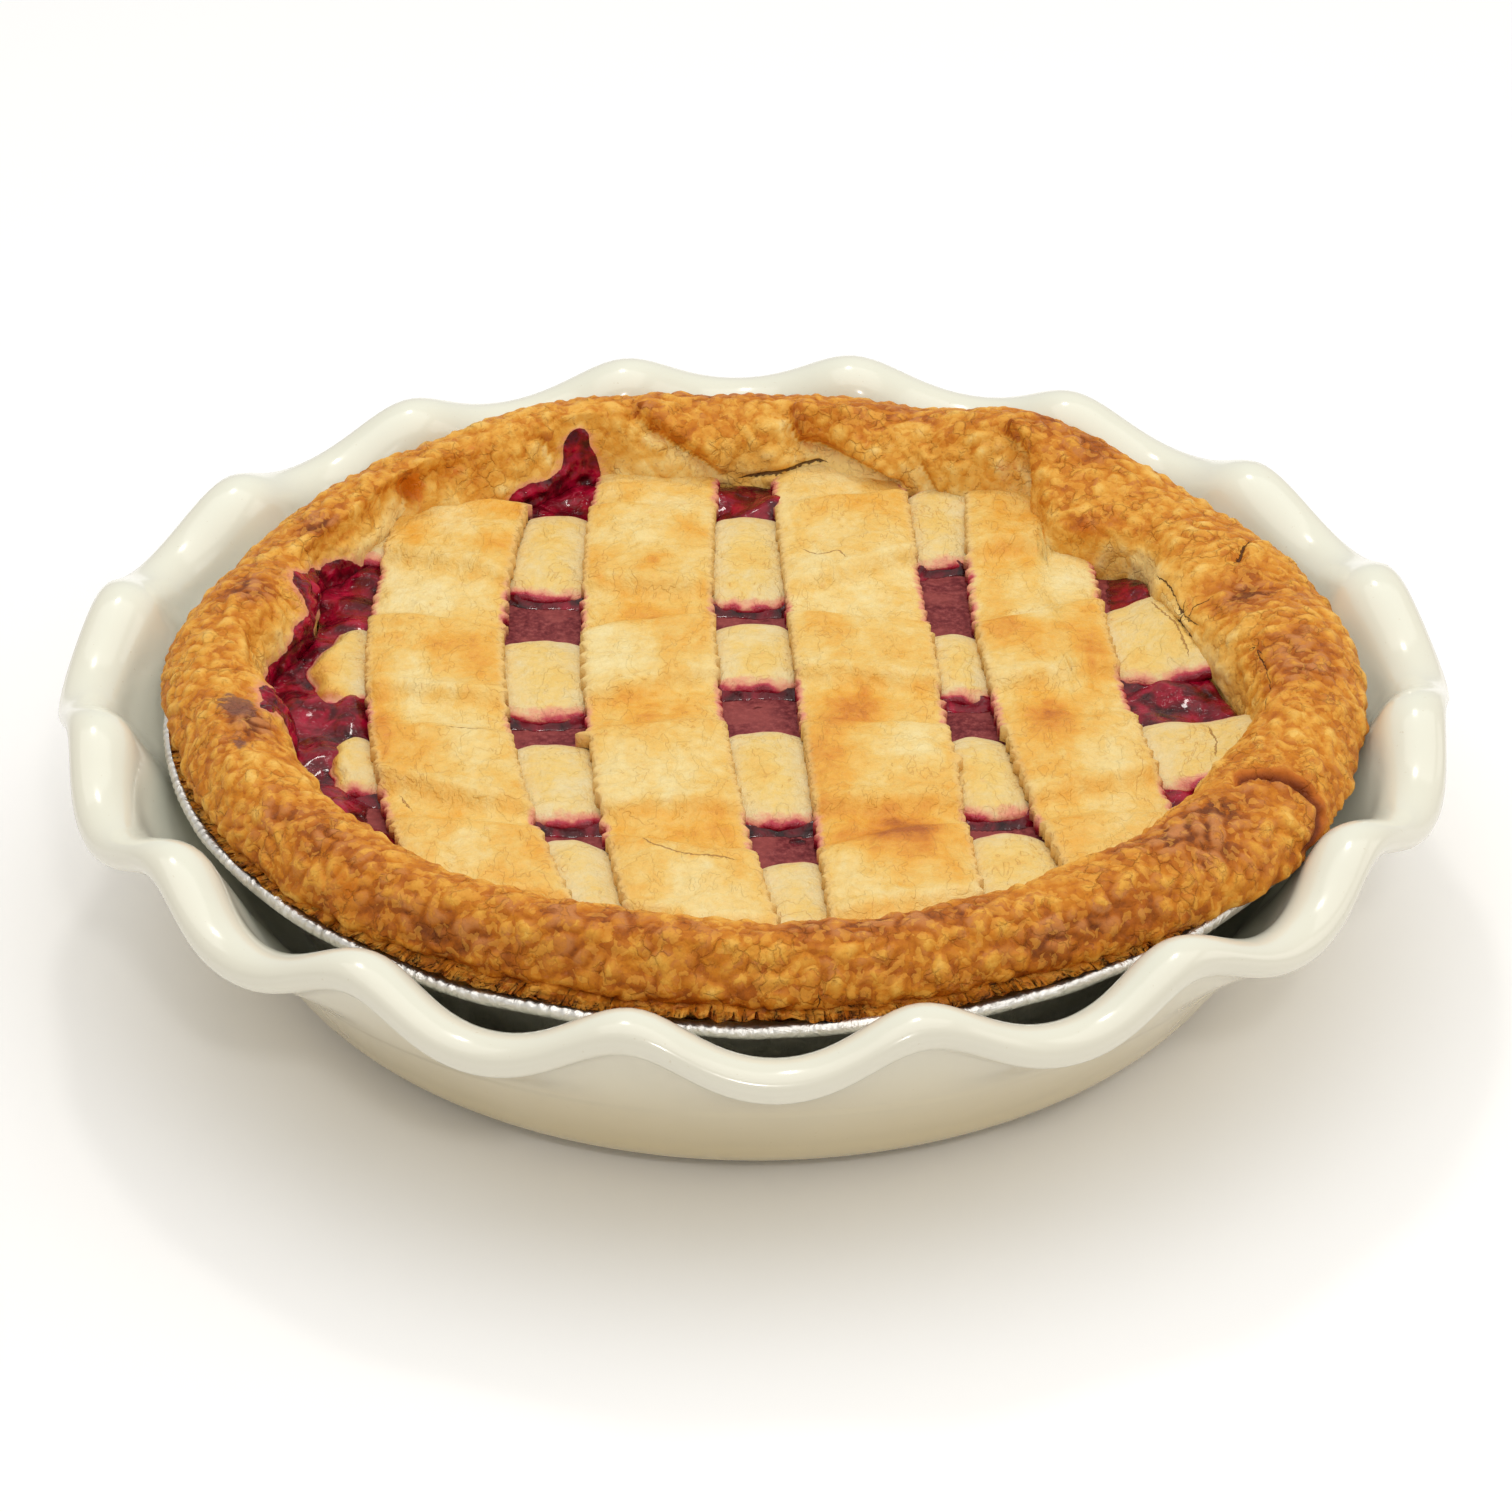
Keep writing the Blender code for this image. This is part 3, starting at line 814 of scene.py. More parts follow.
def makePastry():
    material, tree, shader = newMaterial("bakedCrust")
    where = place(tree)
    flakes = addGroup(tree, flakyCrumb, {"Flake Size": 2.9 * mm}, {"Vector": where})
    patches = grain(tree, where, 9 * mm, 4.0, 0.62)
    crumbly = flip(tree, attribute(tree, "calm"))
    knob = attribute(tree, "knob")
    shade = times(tree, calc(tree, "SUBTRACT", 0.5, flakes["Shade"]), crumbly)
    tone = timesPlus(tree, shade, 0.29, attribute(tree, "browned"))
    tone = sway(tree, tone, patches, 0.5)
    # painted light: raised knobs are made lighter, so the bumps read as lit from above
    tone = timesPlus(tree, knob, -0.3, tone)
    base = ramp(
        tree, tone, (0.0, 243, 213, 138), (0.22, 237, 188, 94), (0.42, 224, 160, 60),
        (0.6, 204, 125, 27), (0.8, 172, 91, 12), (1.0, 116, 56, 12),
    )
    top = rise(tree, upward(tree, where), crust["toastedFrom"], crust["toastedFully"])
    toasted = times(tree, rise(tree, tone, 0.46, 0.76), rise(tree, knob, -0.25, 0.25))
    base = tint(tree, base, times(tree, toasted, top), 0.85, colour(196, 128, 74))
    chips = times(tree, flakes["Chips"], crumbly)
    base = tint(tree, base, chips, 0.25, colour(238, 180, 80))
    cracks = times(tree, flakes["Cracks"], crumbly)
    base = tint(tree, base, cracks, 0.22, colour(146, 80, 22))
    base = tint(tree, base, flakes["Specks"], 0.3, colour(146, 84, 36))
    caramel = rise(tree, timesPlus(tree, shade, -0.9, attribute(tree, "caramel")), 0.25, 0.85)
    base = tint(tree, base, caramel, 0.85, colour(204, 108, 10))
    burnt = rise(tree, timesPlus(tree, shade, -0.7, attribute(tree, "burnt")), 0.3, 0.7)
    base = tint(tree, base, burnt, 0.85, colour(124, 78, 66))
    split = splitMask(tree, where)
    # painted shade inside the splits
    base = tint(tree, base, split, 0.9, colour(72, 36, 14))
    # painted shade: the trench of the wide gap at the right darkens towards the front segment's edge
    gap = ramp(
        tree, attribute(tree, "gap"),
        (0.0, 206, 122, 40), (0.4, 184, 98, 20), (0.72, 134, 62, 14), (1.0, 88, 36, 10),
    )
    base = blendColour(tree, rise(tree, attribute(tree, "gap"), 0.04, 0.3), base, gap)
    wetness = attribute(tree, "juice")
    ragged = grain(tree, where, 2.4 * mm, 3.0, 0.6)
    juice = rise(tree, sway(tree, wetness, ragged, 0.4), 0.5, 0.56)
    clot = grain(tree, where, 3.2 * mm, 2.0)
    wine = ramp(tree, clot, (0.34, 70, 0, 12), (0.5, 120, 0, 26), (0.66, 172, 8, 50))
    soaked = times(tree, wetness, 0.6)
    stained = addGroup(tree, juiceStain, {}, {"Vector": where, "Amount": soaked, "Base": base})
    base = blendColour(tree, juice, stained["Color"], wine)
    matte = timesPlus(tree, flakes["Shade"], 0.14, 0.5)
    matte = timesPlus(tree, juice, -0.5, matte)
    matte = timesPlus(tree, caramel, -0.3, matte)
    height = times(tree, flakes["Height"], timesPlus(tree, crumbly, 0.8, 0.2))
    height = times(tree, height, flip(tree, juice))
    height = timesPlus(tree, clot, times(tree, juice, 2.8), height)
    height = timesPlus(tree, split, -1.0, timesPlus(tree, cracks, -0.4, height))
    connect(
        tree, shader.inputs, Base_Color=base, Roughness=calc(tree, "MAXIMUM", matte, 0.1),
        Specular_IOR_Level=timesPlus(tree, juice, 0.05, 0.2),
        Normal=relief(tree, height, 0.5 * mm, 0.85),
    )
    return material


def makeCrust():
    edge, crest, high = crust["edgeRadius"], crust["crestRadius"], crust["crestHeight"]
    under = crust["underside"]
    rim = smoothLine(
        (
            (0.1090, tin["flangeHeight"] + tin["foil"] + 0.0007), (0.1110, under),
            (edge - 0.0012, under + 0.0002), (edge, under + 0.0028), (edge - 0.0030, high - 0.0038),
            (edge - 0.0078, high - 0.0008), (crest, high), (crest - 0.0056, high - 0.0018),
            (crest - 0.0092, high - 0.0056), (crust["innerRadius"], 0.0480), (0.0910, 0.0400),
        ),
        crust["spacing"],
    )
    case = [Vector(corner) for corner in tinWall(tin["foil"] + 0.0003)[:-1]]
    hollow = [Vector(corner) for corner in insideProfile(0.0)[::-1][1:]]
    rimStart = lengthOf([*case, rim[0]])
    rimEnd = rimStart + lengthOf(rim)
    reached, outward = [rimStart], [(0.0, -1.0)]
    for before, middle, after in zip(rim, rim[1:], rim[2:]):
        reached.append(reached[-1] + (middle - before).length)
        way = (after - before).normalized()
        outward.append((way.y, -way.x))
    bm = turned(case + rim + hollow, crust["steps"])
    along = bm.verts.layers.float["along"]
    layers = addLayers(
        bm, "browned", "caramel", "burnt", "splitAway", "splitShown", "juice", "knob", "calm", "gap"
    )
    for vert in bm.verts:
        radius, angle, height = polar(vert.co)
        if radius < 1e-6:
            continue
        degrees = math.degrees(angle) % 360
        radius, height = crustShape(degrees, radius, height)
        spot = fromPolar(radius, angle, height)
        across = (vert[along] - rimStart) / mm
        juice = spotAmount(juiceSpots, degrees, across)
        if rimStart + 1e-6 < vert[along] < rimEnd - 1e-6:
            side = outward[min(bisect.bisect_left(reached, vert[along] - 1e-5), len(outward) - 1)]
            inside = smoothStep(35, 44, across)
            pale = spotAmount(paleSpots, degrees, across)
            knob = pebbles(spot, 3.6 * mm, 5.0)
            calm = 1 - (1 - 0.12 * inside) * (1 - 0.4 * min(pale, 1)) * (1 - 0.9 * min(juice, 1))
            lapRise, lapUpper, lapUnder, gap = lapHeight(degrees, across)
            deep, splitAway, splitShown = splitDepth(degrees, across)
            blisters = 0.85 * (knob - 0.45) + 0.26 * (pebbles(spot, 1.9 * mm, 9.0) - 0.4)
            push = 0.9 * lumps(spot, 24 * mm, 1.0) + (0.65 + 0.7 * inside) * lumps(spot, 8 * mm, 2.0)
            push += (1 - calm) * blisters + lapRise - deep
            push += min(juice, 1.2) * (0.5 + 0.9 * pebbles(spot, 3.0 * mm, 12.0))
            push += wrinkles(degrees, across)
            ends = smoothStep(0, 2.5, across) * smoothStep(0, 4, (rimEnd - vert[along]) / mm)
            push *= ends * mm
            radius += push * side[0]
            height += push * side[1]
            torn = max(lumps(spot, 5 * mm, 21.0), 0) + 0.5 * max(lumps(spot, 1.6 * mm, 22.0), 0)
            height += 2.2 * mm * torn * smoothStep(8, 2.5, across) * smoothStep(0, 1, across)
            # painted shade: the outer lower face at the front is made browner; the inner face is paler
            # dough
            tone = 0.48 + 0.14 * bump(degrees, 270, 70) * smoothStep(26, 8, across) - 0.22 * inside
            tone -= 0.06 * bump(degrees, 100, 60) * smoothStep(26, 36, across)
            tone += spotAmount(darkSpots, degrees, across) - 0.42 * pale
            # partly painted shade: the upper lap is browned along its edge, where its overhang shades the
            # fold; the lower lap is paler dough near the fold on the inner face
            tone += 0.24 * lapUpper - 0.3 * lapUnder * smoothStep(28, 36, across)
            setLayers(
                vert, layers, browned=tone, splitAway=splitAway, splitShown=splitShown, juice=juice,
                caramel=min(spotAmount(caramelSpots, degrees, across), 1),
                burnt=min(spotAmount(burntSpots, degrees, across), 1),
                knob=(knob - 0.45) * (1 - calm), calm=calm, gap=gap,
            )
        else:
            setLayers(vert, layers, browned=0.35, splitAway=3.0, juice=juice)
        vert.co = fromPolar(radius, angle, height, pieCentre)
    finishPiece("crustRim", bm, makePastry(), "crust")


makeCrust()


# lattice

lattice = {
    "thick": 2.8 * mm,
    "sag": 2.1 * mm,
    "tuck": 3.0 * mm,
    "scallop": 4.4 * mm,
    "scallopDepth": 1.6 * mm,
    "spacing": 0.75 * mm,
    "gap": 0.3 * mm,
    "shadeReach": 5 * mm,
    "archReach": 8 * mm,
    "puff": 1.3 * mm,
    "bowBack": 4.4 * mm,
    "bowFront": 1.8 * mm,
}
# middle at y = 0, lean, bend and width, from left to right
longStrips = (
    (-0.0620, -0.095, 1.5, 0.0258),
    (-0.0200, -0.071, 0.7, 0.0252),
    (0.0220, -0.056, 0.07, 0.0268),
    (0.0585, -0.087, 0.95, 0.0250),
)
shownAt = (-0.078, -0.0415, 0.0, 0.0425, 0.080)
# back edge and front edge of each cross strip at those places, from back to front
crossStrips = (
    ((0.076, 0.073, 0.073, 0.082, 0.088), (0.052, 0.040, 0.036, 0.054, 0.062)),
    ((0.026, 0.020, 0.027, 0.023, 0.035), (-0.003, -0.008, 0.004, -0.001, 0.007)),
    ((-0.016, -0.020, -0.015, -0.017, -0.012), (-0.035, -0.046, -0.046, -0.044, -0.034)),
    ((-0.049, -0.053, -0.062, -0.052, -0.048), (-0.072, -0.077, -0.086, -0.076, -0.071)),
)
# Two cross strips stop short of the rim at the left: x at their front, middle and back.
freeEnds = {2: (-0.0845, -0.0873, -0.0805), 3: (-0.0775, -0.0812, -0.0786)}
crossBottom = crust["fillingTop"] + lattice["gap"]
longBottom = crossBottom + lattice["thick"] + 2 * lattice["gap"]


def shownValue(values, x):
    if x <= shownAt[0]:
        return values[0]
    for low, high, start, end in zip(shownAt, shownAt[1:], values, values[1:]):
        if x <= high:
            return mixValue(start, end, smoothStep(low, high, x))
    return values[-1]


def roomLeft(x, y):  # from a point to the rim's inner edge
    x, y = x - pieCentre.x, y - pieCentre.y
    degrees = math.degrees(math.atan2(y, x)) % 360
    return crust["innerRadius"] + innerPush(degrees) - math.hypot(x, y)


def marchToRim(pointAt, way, tuck):  # out from the middle until the tuck under the rim is reached
    value = way * 20 * mm
    while roomLeft(*pointAt(value)) > -tuck and abs(value) < crust["edgeRadius"]:
        value += way * 0.5 * mm
    return value


def makeDough(name, browning, values):
    material, tree, shader = newMaterial(name, Specular_IOR_Level=0.4)
    where = place(tree)
    flakes = addGroup(tree, flakyCrumb, {"Flake Size": 4.6 * mm}, {"Vector": where})
    pulled, tall = stretched(tree, where, 0.45, 1.2), stretched(tree, where, 1.0, 0.55)
    bakes = grain(tree, tall, 15 * mm, 3.0, 0.55)
    blisters = grain(tree, tall, 6 * mm, 3.0, 0.6, 0.4)
    streaks = grain(tree, pulled, 3.4 * mm, 4.0, 0.65, 0.5)
    edge = attribute(tree, "edgeAway")
    creases = grain(tree, where, 2.2 * mm, 4.0, 0.65, 0.5)
    tone = attribute(tree, "browned")
    for pattern, amount in (
        (bakes, values["bakes"]), (blisters, 0.4), (streaks, values["streaks"]),
        (flakes["Shade"], 0.1), (creases, -0.3),
    ):
        tone = sway(tree, tone, pattern, amount)
    base = ramp(tree, tone, *browning)
    ridge = calc(tree, "ABSOLUTE", calc(tree, "SUBTRACT", blisters, 0.55))
    ridge = flip(tree, rise(tree, ridge, 0.0, 0.014))
    ridge = times(tree, ridge, rise(tree, bakes, 0.44, 0.56))
    base = tint(tree, base, ridge, 0.3, colour(208, 142, 60))
    worn = flip(tree, rise(tree, edge, 0.0, values["wornWidth"]))
    base = tint(tree, base, worn, 0.6, values["edge"])
    base = tint(tree, base, flakes["Specks"], values["dots"], colour(196, 138, 66))
    split = splitMask(tree, where)
    # painted shade inside the splits of the strips
    base = tint(tree, base, split, 0.75, colour(172, 112, 50))
    base = tint(tree, base, attribute(tree, "side"), 0.6, values["side"])
    juice = attribute(tree, "juice")
    stained = addGroup(tree, juiceStain, {}, {"Vector": where, "Amount": juice, "Base": base})
    rough = timesPlus(tree, blisters, 0.2, 0.4)
    rough = timesPlus(tree, stained["Mask"], -0.32, rough)
    height = timesPlus(tree, blisters, 1.8, times(tree, creases, 1.3))
    height = timesPlus(tree, rise(tree, blisters, 0.545, 0.555), 0.25, height)
    height = timesPlus(tree, streaks, values["streaks"] * 3, height)
    height = timesPlus(tree, flakes["Height"], 0.3, height)
    height = timesPlus(tree, split, -0.9, height)
    connect(
        tree, shader.inputs, Base_Color=stained["Color"], Roughness=rough,
        Normal=relief(tree, height, 0.6 * mm, 0.8),
    )
    return material


goldenDough = makeDough(
    "goldenDough",
    (
        (0.08, 238, 222, 166), (0.28, 236, 209, 138), (0.46, 233, 191, 100),
        (0.64, 231, 170, 62), (0.84, 216, 136, 34), (1.0, 176, 94, 20),
    ),
    {
        "edge": colour(232, 196, 128), "side": colour(228, 182, 112), "dots": 0.12, "bakes": 0.95,
        "streaks": 0.1, "wornWidth": 1.4,
    },
)
paleDough = makeDough(
    "paleDough",
    (
        (0.08, 228, 216, 180), (0.3, 230, 210, 154), (0.5, 233, 198, 112), (0.7, 231, 180, 80),
        (1.0, 190, 104, 30),
    ),
    {
        "edge": colour(222, 206, 158), "side": colour(214, 180, 120), "dots": 0.08, "bakes": 0.28,
        "streaks": 0.14, "wornWidth": 2.6,
    },
)

# Browned spots of the long strips in millimetres: x, y, size along x and y, amount.
longBrowned = (
    (19, -9.5, 8.5, 8.5, 0.4), (25.5, -54, 8.5, 9, 0.48), (-20, 28, 9.35, 5.25, 0.22),
    (-10, -53, 7.65, 9, 0.28), (-49, 69, 7.65, 4.5, 0.3), (57, -11, 7.6, 8, 0.34), (50, 18, 5.1, 9, 0.06),
    (66, 10, 3.4, 15, 0.25), (-54, 55, 5.1, 4.5, 0.22), (-72, -9.5, 4.25, 15, 0.2),
    (-20, 47, 4.25, 4.5, 0.2), (12, -52, 4.25, 18, 0.18), (28, 8, 6.8, 15, 0.12), (-56, -48, 6.8, 9, 0.16),
    (62, -42, 5.95, 13.5, 0.12), (-20, -8, 7.65, 6, 0.14), (48, 34, 4.25, 18, 0.16),
    (16, -30, 6.8, 12, 0.12), (-60, 12, 8.5, 6, 0.12), (-14, 62, 6.8, 7.5, 0.12),
)
longPale = (
    (54, 27, 4, 4, 0.3), (8, 30, 6, 8, 0.15), (-28, 6, 5, 8, 0.15), (-66, 34, 7, 8, 0.15),
    (22, 62, 9, 9, 0.12), (30, -26, 5, 9, 0.15), (-52, -24, 5, 9, 0.12), (68, -30, 5, 8, 0.15),
    (-24, -36, 8, 8, 0.15), (58, 2, 8, 4, 0.1),
)
crossBrowned = (
    (-85, 6, 3.5, 7, 0.6), (-82, -2, 5, 2.5, 1.1), (-80.5, -27, 1.8, 8, 0.9), (-76, -35, 5, 2, 0.4),
    (-42, 60, 6, 6, 0.2), (0, 53, 6, 8, 0.2), (0, 10, 5, 7, 0.14), (-42, -34, 5, 7, 0.2),
    (0, -31, 4, 9, 0.3), (42, -32, 5, 8, 0.16), (-42, 8, 6, 8, 0.1), (42, 12, 5, 6, 0.14),
    (84, 22, 4, 6, 0.35), (78, 14, 6, 4, 0.2), (76, -16, 5, 4, 0.15), (44, -62, 5, 4, 0.2),
    (-42, -64, 5, 4, 0.12),
)
# Splits of the strips in millimetres, x and y.
longSplits = (
    ((-24.6, -54.4), (-21, -58), (-18.9, -61.2), (-14, -63.6), (-9.9, -64.6), (-2.7, -66.2)),
    ((-59.7, -18.9), (-54, -19.6), (-48.4, -18.9)),
    ((9, 52.5), (13, 49.5), (17, 51), (19, 47)),
    ((47, -60), (53, -63)),
    ((-66, -40), (-63, -46)),
)
crossSplits = (
    ((79.5, 34.2), (81, 28), (83.5, 21.9), (85.3, 9.9)),
    ((86.6, -13), (87.5, -20), (86.6, -28)),
)


def flatSpots(spots, x, y):
    total = 0.0
    for spotX, spotY, wide, long, amount in spots:
        away = ((x / mm - spotX) / wide) ** 2 + ((y / mm - spotY) / long) ** 2
        if away < 6:
            total += amount * math.exp(-away)
    return total


def flatSplit(splits, x, y):  # signed distance in millimetres and the share shown
    found = [awayFromLine((x / mm, y / mm), line) for line in splits]
    away, reached, length = min(found, key=lambda each: abs(each[0]))
    ends = smoothStep(0, 3, reached) * smoothStep(0, 3, length - reached)
    return max(-3.0, min(away, 3.0)), ends * smoothStep(2.4, 1.2, abs(away))


def crossCover(x, y):  # 1 where a cross strip lies at this point, 0 between them
    cover = 0.0
    for back, front in crossStrips:
        near = y - shownValue(front, x)
        far = shownValue(back, x) - y
        cover = max(cover, smoothStep(-0.004, 0.002, near) * smoothStep(-0.004, 0.002, far))
    return cover


def longEdge(strip, side, y):
    middle, lean, bend, width = strip
    return middle + lean * y + bend * y * y + side * width / 2


def underLong(x, y):  # 1 under a long strip
    cover = 0.0
    for strip in longStrips:
        left, right = longEdge(strip, -1, y), longEdge(strip, 1, y)
        cover = max(cover, smoothStep(-0.001, 0.0015, x - left) * smoothStep(-0.001, 0.0015, right - x))
    return cover


def nearestEdge(x, y):  # how far the nearest edge of a long strip is
    return min(abs(x - longEdge(strip, side, y)) for strip in longStrips for side in (-1, 1))


def besideLong(x, y):  # 1 at a long strip's edge, 0 a few millimetres out
    return 1 - smoothStep(0.0, lattice["shadeReach"], nearestEdge(x, y))


def arched(x, y):  # 0 under a long strip and at its edge, 1 well away from it
    inward = 1 - min(nearestEdge(x, y) / lattice["archReach"], 1.0)
    return (1 - underLong(x, y)) * math.sqrt(1 - inward**1.7)


def pressedEdge(across):  # share of the full thickness left towards a strip's cut edge
    return 0.6 + 0.4 * math.sqrt(max(1 - across**4, 0.0))


def addStrip(name, columns, rows, pointAt, heightAt, paint, material, node):
    bm = bmesh.new()
    layers = addLayers(bm, "browned", "edgeAway", "juice", "splitAway", "splitShown", "side")
    bmesh.ops.create_grid(bm, x_segments=columns, y_segments=rows, size=0.5)
    top = list(bm.verts)
    grid = {vert: (2 * vert.co.x, vert.co.y + 0.5) for vert in top}
    made = bmesh.ops.extrude_face_region(bm, geom=list(bm.faces))
    for vert in [part for part in made["geom"] if isinstance(part, bmesh.types.BMVert)]:
        grid[vert] = (2 * vert.co.x, vert.co.y + 0.5)
        vert.co.z = -1.0
    for vert, (across, along) in grid.items():
        spread = math.copysign(1 - (1 - abs(across)) ** 1.35, across)  # closer together at the edges
        isTop = vert.co.z > -0.5
        x, y = pointAt(spread, along)
        setLayers(vert, layers, side=0.0 if isTop else 1.0, **paint(x, y, spread, isTop))
        vert.co = (x, y, heightAt(x, y, spread, isTop))
    bmesh.ops.recalc_face_normals(bm, faces=bm.faces)
    finishPiece(name, bm, material, node)


def doughLumps(x, y, seed):
    spot = (x, y, 0.0)
    return mm * (
        0.6 * lumps(spot, 16 * mm, seed) + 0.42 * lumps(spot, 6 * mm, seed + 2)
        + 0.14 * lumps(spot, 2.4 * mm, seed + 5)
    )


def rimRise(x, y):  # dough climbs a little where it is pressed into the rim
    if math.hypot(x, y) < 0.07:
        return 0.0
    return 2.2 * mm * (1 - smoothStep(-2 * mm, 9 * mm, roomLeft(x, y)))


def drape(x, y):  # ridge and valley where a long strip comes down off a cross strip
    total = 0.0
    for _, front in crossStrips:
        gap = (shownValue(front, x) - y) / mm + 1.8 * lumps((x * 150, y * 30, 7), 1)
        if -9 < gap < 9:
            total += bell((gap + 2.2) / 1.7) - bell((gap - 1.3) / 1.7)
    return total


edgeNubs = {(2, -1): (-18.7, 2.6, 1.5), (3, 1): (-30.0, 1.4, 1.6)}  # y, reach and size in millimetres


def scallop(way, seed):
    shifted = way + 0.8 * mm * lumps((way * 120, seed, 5), 1)
    wave = abs(math.sin(math.pi * shifted / lattice["scallop"]))
    return lattice["scallopDepth"] * (wave - 0.6 + 0.5 * lumps((way * 90, seed, 0), 1))


def makeLongStrip(number, strip):
    seed = 3.7 * number
    columns = round(strip[3] / lattice["spacing"])
    fronts, backs = [], []
    for column in range(-20, 21):
        across = column / 20

        def at(y):
            return longEdge(strip, across, y), y

        back = marchToRim(at, 1, 0.4 * mm if number == 1 else lattice["tuck"])
        if number == 1:
            back -= 5 * mm * smoothStep(0.55, 1, across) ** 2
        fronts.append(marchToRim(at, -1, lattice["tuck"]))
        backs.append(back)

    def pointAt(across, along):
        column = (across + 1) * 20
        y = mixValue(valueAt(fronts, column), valueAt(backs, column), along)
        x = longEdge(strip, across, y)
        out = scallop(y, seed + across) * abs(across) ** 4
        nubY, reach, size = edgeNubs.get((number, round(across)), (0, 0, 1))
        out += reach * mm * bell((y / mm - nubY) / size) * abs(across) ** 12
        return x + math.copysign(out, across), y

    def heightAt(x, y, across, isTop):
        base = longBottom - lattice["sag"] * (1 - crossCover(x, y))
        if not isTop:
            return base - 0.9 * mm
        wrinkle = 0.16 * mm * lumps((x * 0.3, y, 0), 3.2 * mm, seed)
        ripple = mm * (0.3 * crossCover(x, y) + 0.38 * drape(x, y))
        return base + lattice["thick"] * pressedEdge(across) + doughLumps(x, y, seed) + ripple + wrinkle

    def paint(x, y, across, isTop):
        edge = (1 - abs(across)) * strip[3] / 2 / mm
        near = smoothStep(1.7, 0.0, edge) if isTop else 1.0
        wet = near * (1 - crossCover(x, y)) * (0.75 + 0.7 * lumps((x * 300, y * 300, seed), 1))
        tone = 0.40 + 1.25 * flatSpots(longBrowned, x, y) - 1.2 * flatSpots(longPale, x, y)
        # painted light and shade: the drape's ridge is made lighter and its valley darker
        tone += 0.05 * crossCover(x, y) - 0.07 * drape(x, y)
        splitAway, splitShown = flatSplit(longSplits, x, y)
        return {
            "browned": tone, "edgeAway": edge, "juice": (0.5 if isTop else 0.9) * wet,
            "splitAway": splitAway, "splitShown": splitShown * isTop,
        }

    addStrip(
        f"longStrip{number}", columns, 270, pointAt, heightAt, paint, goldenDough,
        f"strip_long_{number}",
    )


def makeCrossStrip(number, back, front):
    seed = 11 + 2.9 * number
    lefts, rights = [], []
    for row in range(21):
        t = row / 20

        def at(x):
            return x, mixValue(shownValue(front, x), shownValue(back, x), t)

        if number in freeEnds:
            low, middle, high = freeEnds[number]
            left = low * (1 - t) * (1 - 2 * t) + 4 * middle * t * (1 - t) + high * t * (2 * t - 1)
            left += 1.6 * mm * lumps((t * 6, seed, 0), 1)
        else:
            left = marchToRim(at, -1, lattice["tuck"])
        lefts.append(left)
        rights.append(marchToRim(at, 1, 0.8 * mm))

    def pillow(x, y):
        return (1 - underLong(x, y)) * (1 - 0.5 * besideLong(x, y))

    def freeEnd(x, across):  # millimetres from a free left end
        if number not in freeEnds:
            return 9.0
        return (x - valueAt(lefts, (across + 1) * 10)) / mm

    def pointAt(across, along):
        row = (across + 1) * 10
        x = mixValue(valueAt(lefts, row), valueAt(rights, row), along)
        y = mixValue(shownValue(front, x), shownValue(back, x), (across + 1) / 2)
        bow = lattice["bowBack" if across > 0 else "bowFront"] * (arched(x, y) - 0.45)
        nibble = 0.45 * mm * lumps((x * 330, seed, 0), 1)
        y += (bow + nibble) * across**3
        return x, y

    def heightAt(x, y, across, isTop):
        base = crossBottom + rimRise(x, y)
        if not isTop:
            return base
        soft = mixValue(0.3, 1.0, smoothStep(-0.3, 3.2, freeEnd(x, across)))
        puff = lattice["puff"] * arched(x, y) * (1 - across**4) - 0.4 * mm
        return (
            base + soft * (lattice["thick"] * pressedEdge(across) * 0.98 + puff)
            + 0.6 * doughLumps(x, y, seed) * pillow(x, y)
        )

    def paint(x, y, across, isTop):
        half = (shownValue(back, x) - shownValue(front, x)) / 2
        edge = (1 - abs(across)) * half / mm
        splash = 0.85 + 0.9 * lumps((x * 260, y * 260, seed), 1)
        if across < 0:
            wet = splash * (0.42 * smoothStep(3.6, 0.6, edge) + 0.38 * smoothStep(1.2, 0.0, edge))
        else:
            wet = 0.5 * smoothStep(1.2, 0.0, edge) * splash
        if not isTop:
            wet = 1.2
        free = freeEnd(x, across)
        wet = max(wet, 0.8 * smoothStep(1.0, -0.4, free))
        if number == 4:  # soaked where it passes under the leftmost strip
            wet = max(wet, 1.6 * smoothStep(-60 * mm, -63 * mm, x))
        else:
            wet *= 1 - underLong(x, y)
        tone = 0.38 + 0.45 * flatSpots(crossBrowned, x, y) + 0.6 * smoothStep(1.8, 0.2, free)
        tone += 0.06 * (1 - across**2) - 0.12 * besideLong(x, y)
        splitAway, splitShown = flatSplit(crossSplits, x, y)
        return {
            "browned": tone, "edgeAway": min(edge, 1.4 * free + 0.4), "juice": wet,
            "splitAway": splitAway, "splitShown": splitShown * isTop,
        }

    addStrip(
        f"crossStrip{number}", 36, 280, pointAt, heightAt, paint, paleDough, f"strip_cross_{number}"
    )


for number, strip in enumerate(longStrips, 1):
    makeLongStrip(number, strip)
for number, (back, front) in enumerate(crossStrips, 1):
    makeCrossStrip(number, back, front)


# filling

filling = {
    "steps": 560,
    "ringSpacing": 0.72 * mm,
    "wall": 0.4 * mm,
    "clotSize": 8 * mm,
    "climb": 2.2 * mm,  # up the front edge of a cross strip
    "bubbleX": 7.7 * mm,
    "bubbleY": -49.7 * mm,
    "bubbleSize": 1.7 * mm,
}


def inFrontOf(x, y):  # millimetres to the nearest cross strip's front edge behind this point
    gaps = [(shownValue(front, x) - y) / mm for _, front in crossStrips]
    return min((gap for gap in gaps if gap > -2), default=99.0)


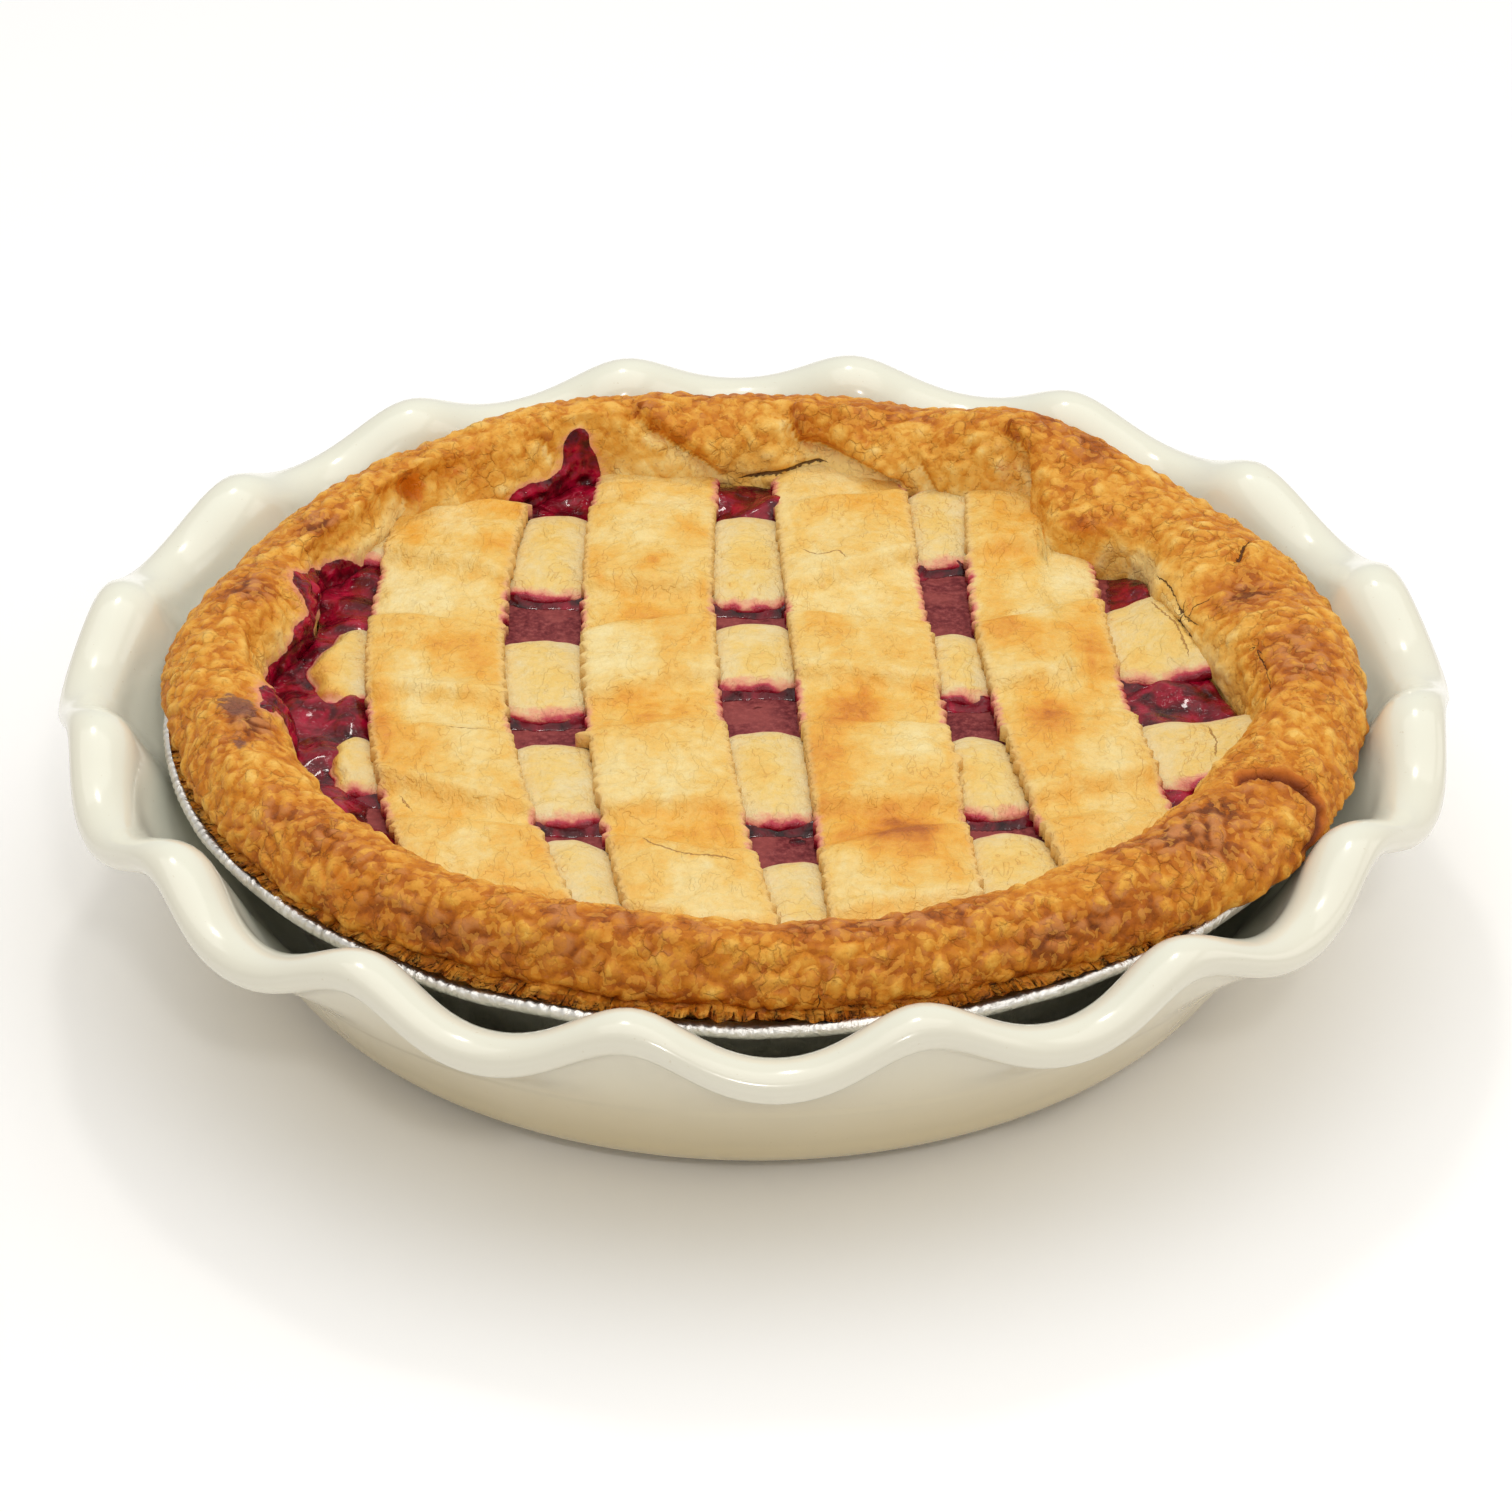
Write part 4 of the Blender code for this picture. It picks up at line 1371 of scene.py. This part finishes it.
def fillingShape(x, y):  # how wet, and how far it stands up in millimetres
    outside = max(  # beyond the outer strips
        smoothStep(68 * mm, 76 * mm, abs(x)),
        smoothStep(64 * mm, 70 * mm, y), smoothStep(80 * mm, 86 * mm, -y),
    )
    ragged = lumps((x * 420, y * 420, 3.0), 1)
    gap = inFrontOf(x, y) + 0.8 * ragged
    spot = (x, y, 0.0)
    fromBubble = math.hypot(x - filling["bubbleX"], y - filling["bubbleY"])
    bubble = bell(fromBubble / filling["bubbleSize"])
    wet = max(outside, 1 - smoothStep(1.6, 3.0, gap), bubble)
    fruit = pebbles(spot, filling["clotSize"], 4.0)
    heap = max(  # fruit piled up at the left, the right and the back
        smoothStep(70 * mm, 80 * mm, -x),
        0.8 * smoothStep(72 * mm, 80 * mm, x), smoothStep(70 * mm, 78 * mm, y),
    )
    raised = heap * (1.9 + 2.2 * lumps(spot, 9 * mm, 4.0) + 0.7 * fruit) - 1.2 * bubble
    raised += (1 - heap) * (0.3 * lumps(spot, 4 * mm, 8.0) + 0.25)
    climb = (1 - smoothStep(-0.2, 2.3, gap)) * smoothStep(-2.0, -1.4, gap)
    raised = max(raised, climb * filling["climb"] / mm * (0.85 + 0.5 * ragged))
    return wet, raised, climb


def makeCherries():
    material, tree, shader = newMaterial("cherryFilling", IOR=1.38, Coat_Roughness=0.05)
    where = place(tree)
    wet = attribute(tree, "wet")
    ragged = grain(tree, where, 2.2 * mm, 3.0, 0.6)
    wet = rise(tree, sway(tree, wet, ragged, 0.8), 0.42, 0.6)
    clots = grain(tree, where, 4.5 * mm, 2.0, 0.5, 0.6)
    deep = timesPlus(tree, attribute(tree, "raised"), 0.07, clots)
    gel = ramp(
        tree, deep, (0.34, 44, 0, 6), (0.5, 92, 0, 18), (0.64, 134, 0, 32), (0.78, 168, 16, 52)
    )
    dust = grain(tree, where, 1.3 * mm, 4.0, 0.7)
    patches = grain(tree, where, 9 * mm, 2.0)
    skin = ramp(tree, dust, (0.34, 92, 30, 36), (0.5, 120, 50, 53), (0.68, 154, 80, 78))
    skin = tint(tree, skin, rise(tree, patches, 0.4, 0.62), 0.6, colour(158, 80, 76))
    base = blendColour(tree, wet, skin, gel)
    rough = timesPlus(tree, wet, -0.34, 0.46)
    rough = timesPlus(tree, dust, 0.08, rough)
    puckers = grain(tree, stretched(tree, where, 0.35, 1.6), 1.6 * mm, 3.0, 0.6)
    fineLumps = grain(tree, where, 2.4 * mm, 1.5, 0.5, 0.5)
    height = timesPlus(tree, clots, 1.2, times(tree, puckers, 0.3))
    height = timesPlus(tree, fineLumps, times(tree, wet, 2.4), height)
    connect(
        tree, shader.inputs, Base_Color=base, Roughness=rough, Coat_Weight=times(tree, wet, 0.35),
        Specular_IOR_Level=timesPlus(tree, wet, 0.04, 0.14),
        Normal=relief(tree, height, 0.5 * mm, 0.75),
    )
    return material


def makeFilling():
    wall = insideProfile(filling["wall"])
    radius, top = wall[-1][0], crust["fillingTop"]
    rings = round(radius / filling["ringSpacing"])
    surface = [(radius * (1 - ring / rings), top) for ring in range(rings + 1)]
    bm = turned(wall + surface, filling["steps"])
    layers = addLayers(bm, "wet", "raised")
    for vert in bm.verts:
        radius, angle, height = polar(vert.co)
        if radius < 1e-6:
            continue
        degrees = math.degrees(angle) % 360
        isTop = height > top - 1e-6
        if isTop:
            radius += innerPush(degrees) * smoothStep(70 * mm, 90.6 * mm, radius)
        else:
            radius, height = crustShape(degrees, radius, height)
        x, y, height = fromPolar(radius, angle, height, pieCentre)
        if isTop:
            wet, raised, climb = fillingShape(x, y)
            height += raised * mm
            setLayers(vert, layers, wet=wet, raised=(raised - 0.4 * climb) * 0.5)
        vert.co = (x, y, height)
    finishPiece("cherryBed", bm, makeCherries(), "filling")


makeFilling()
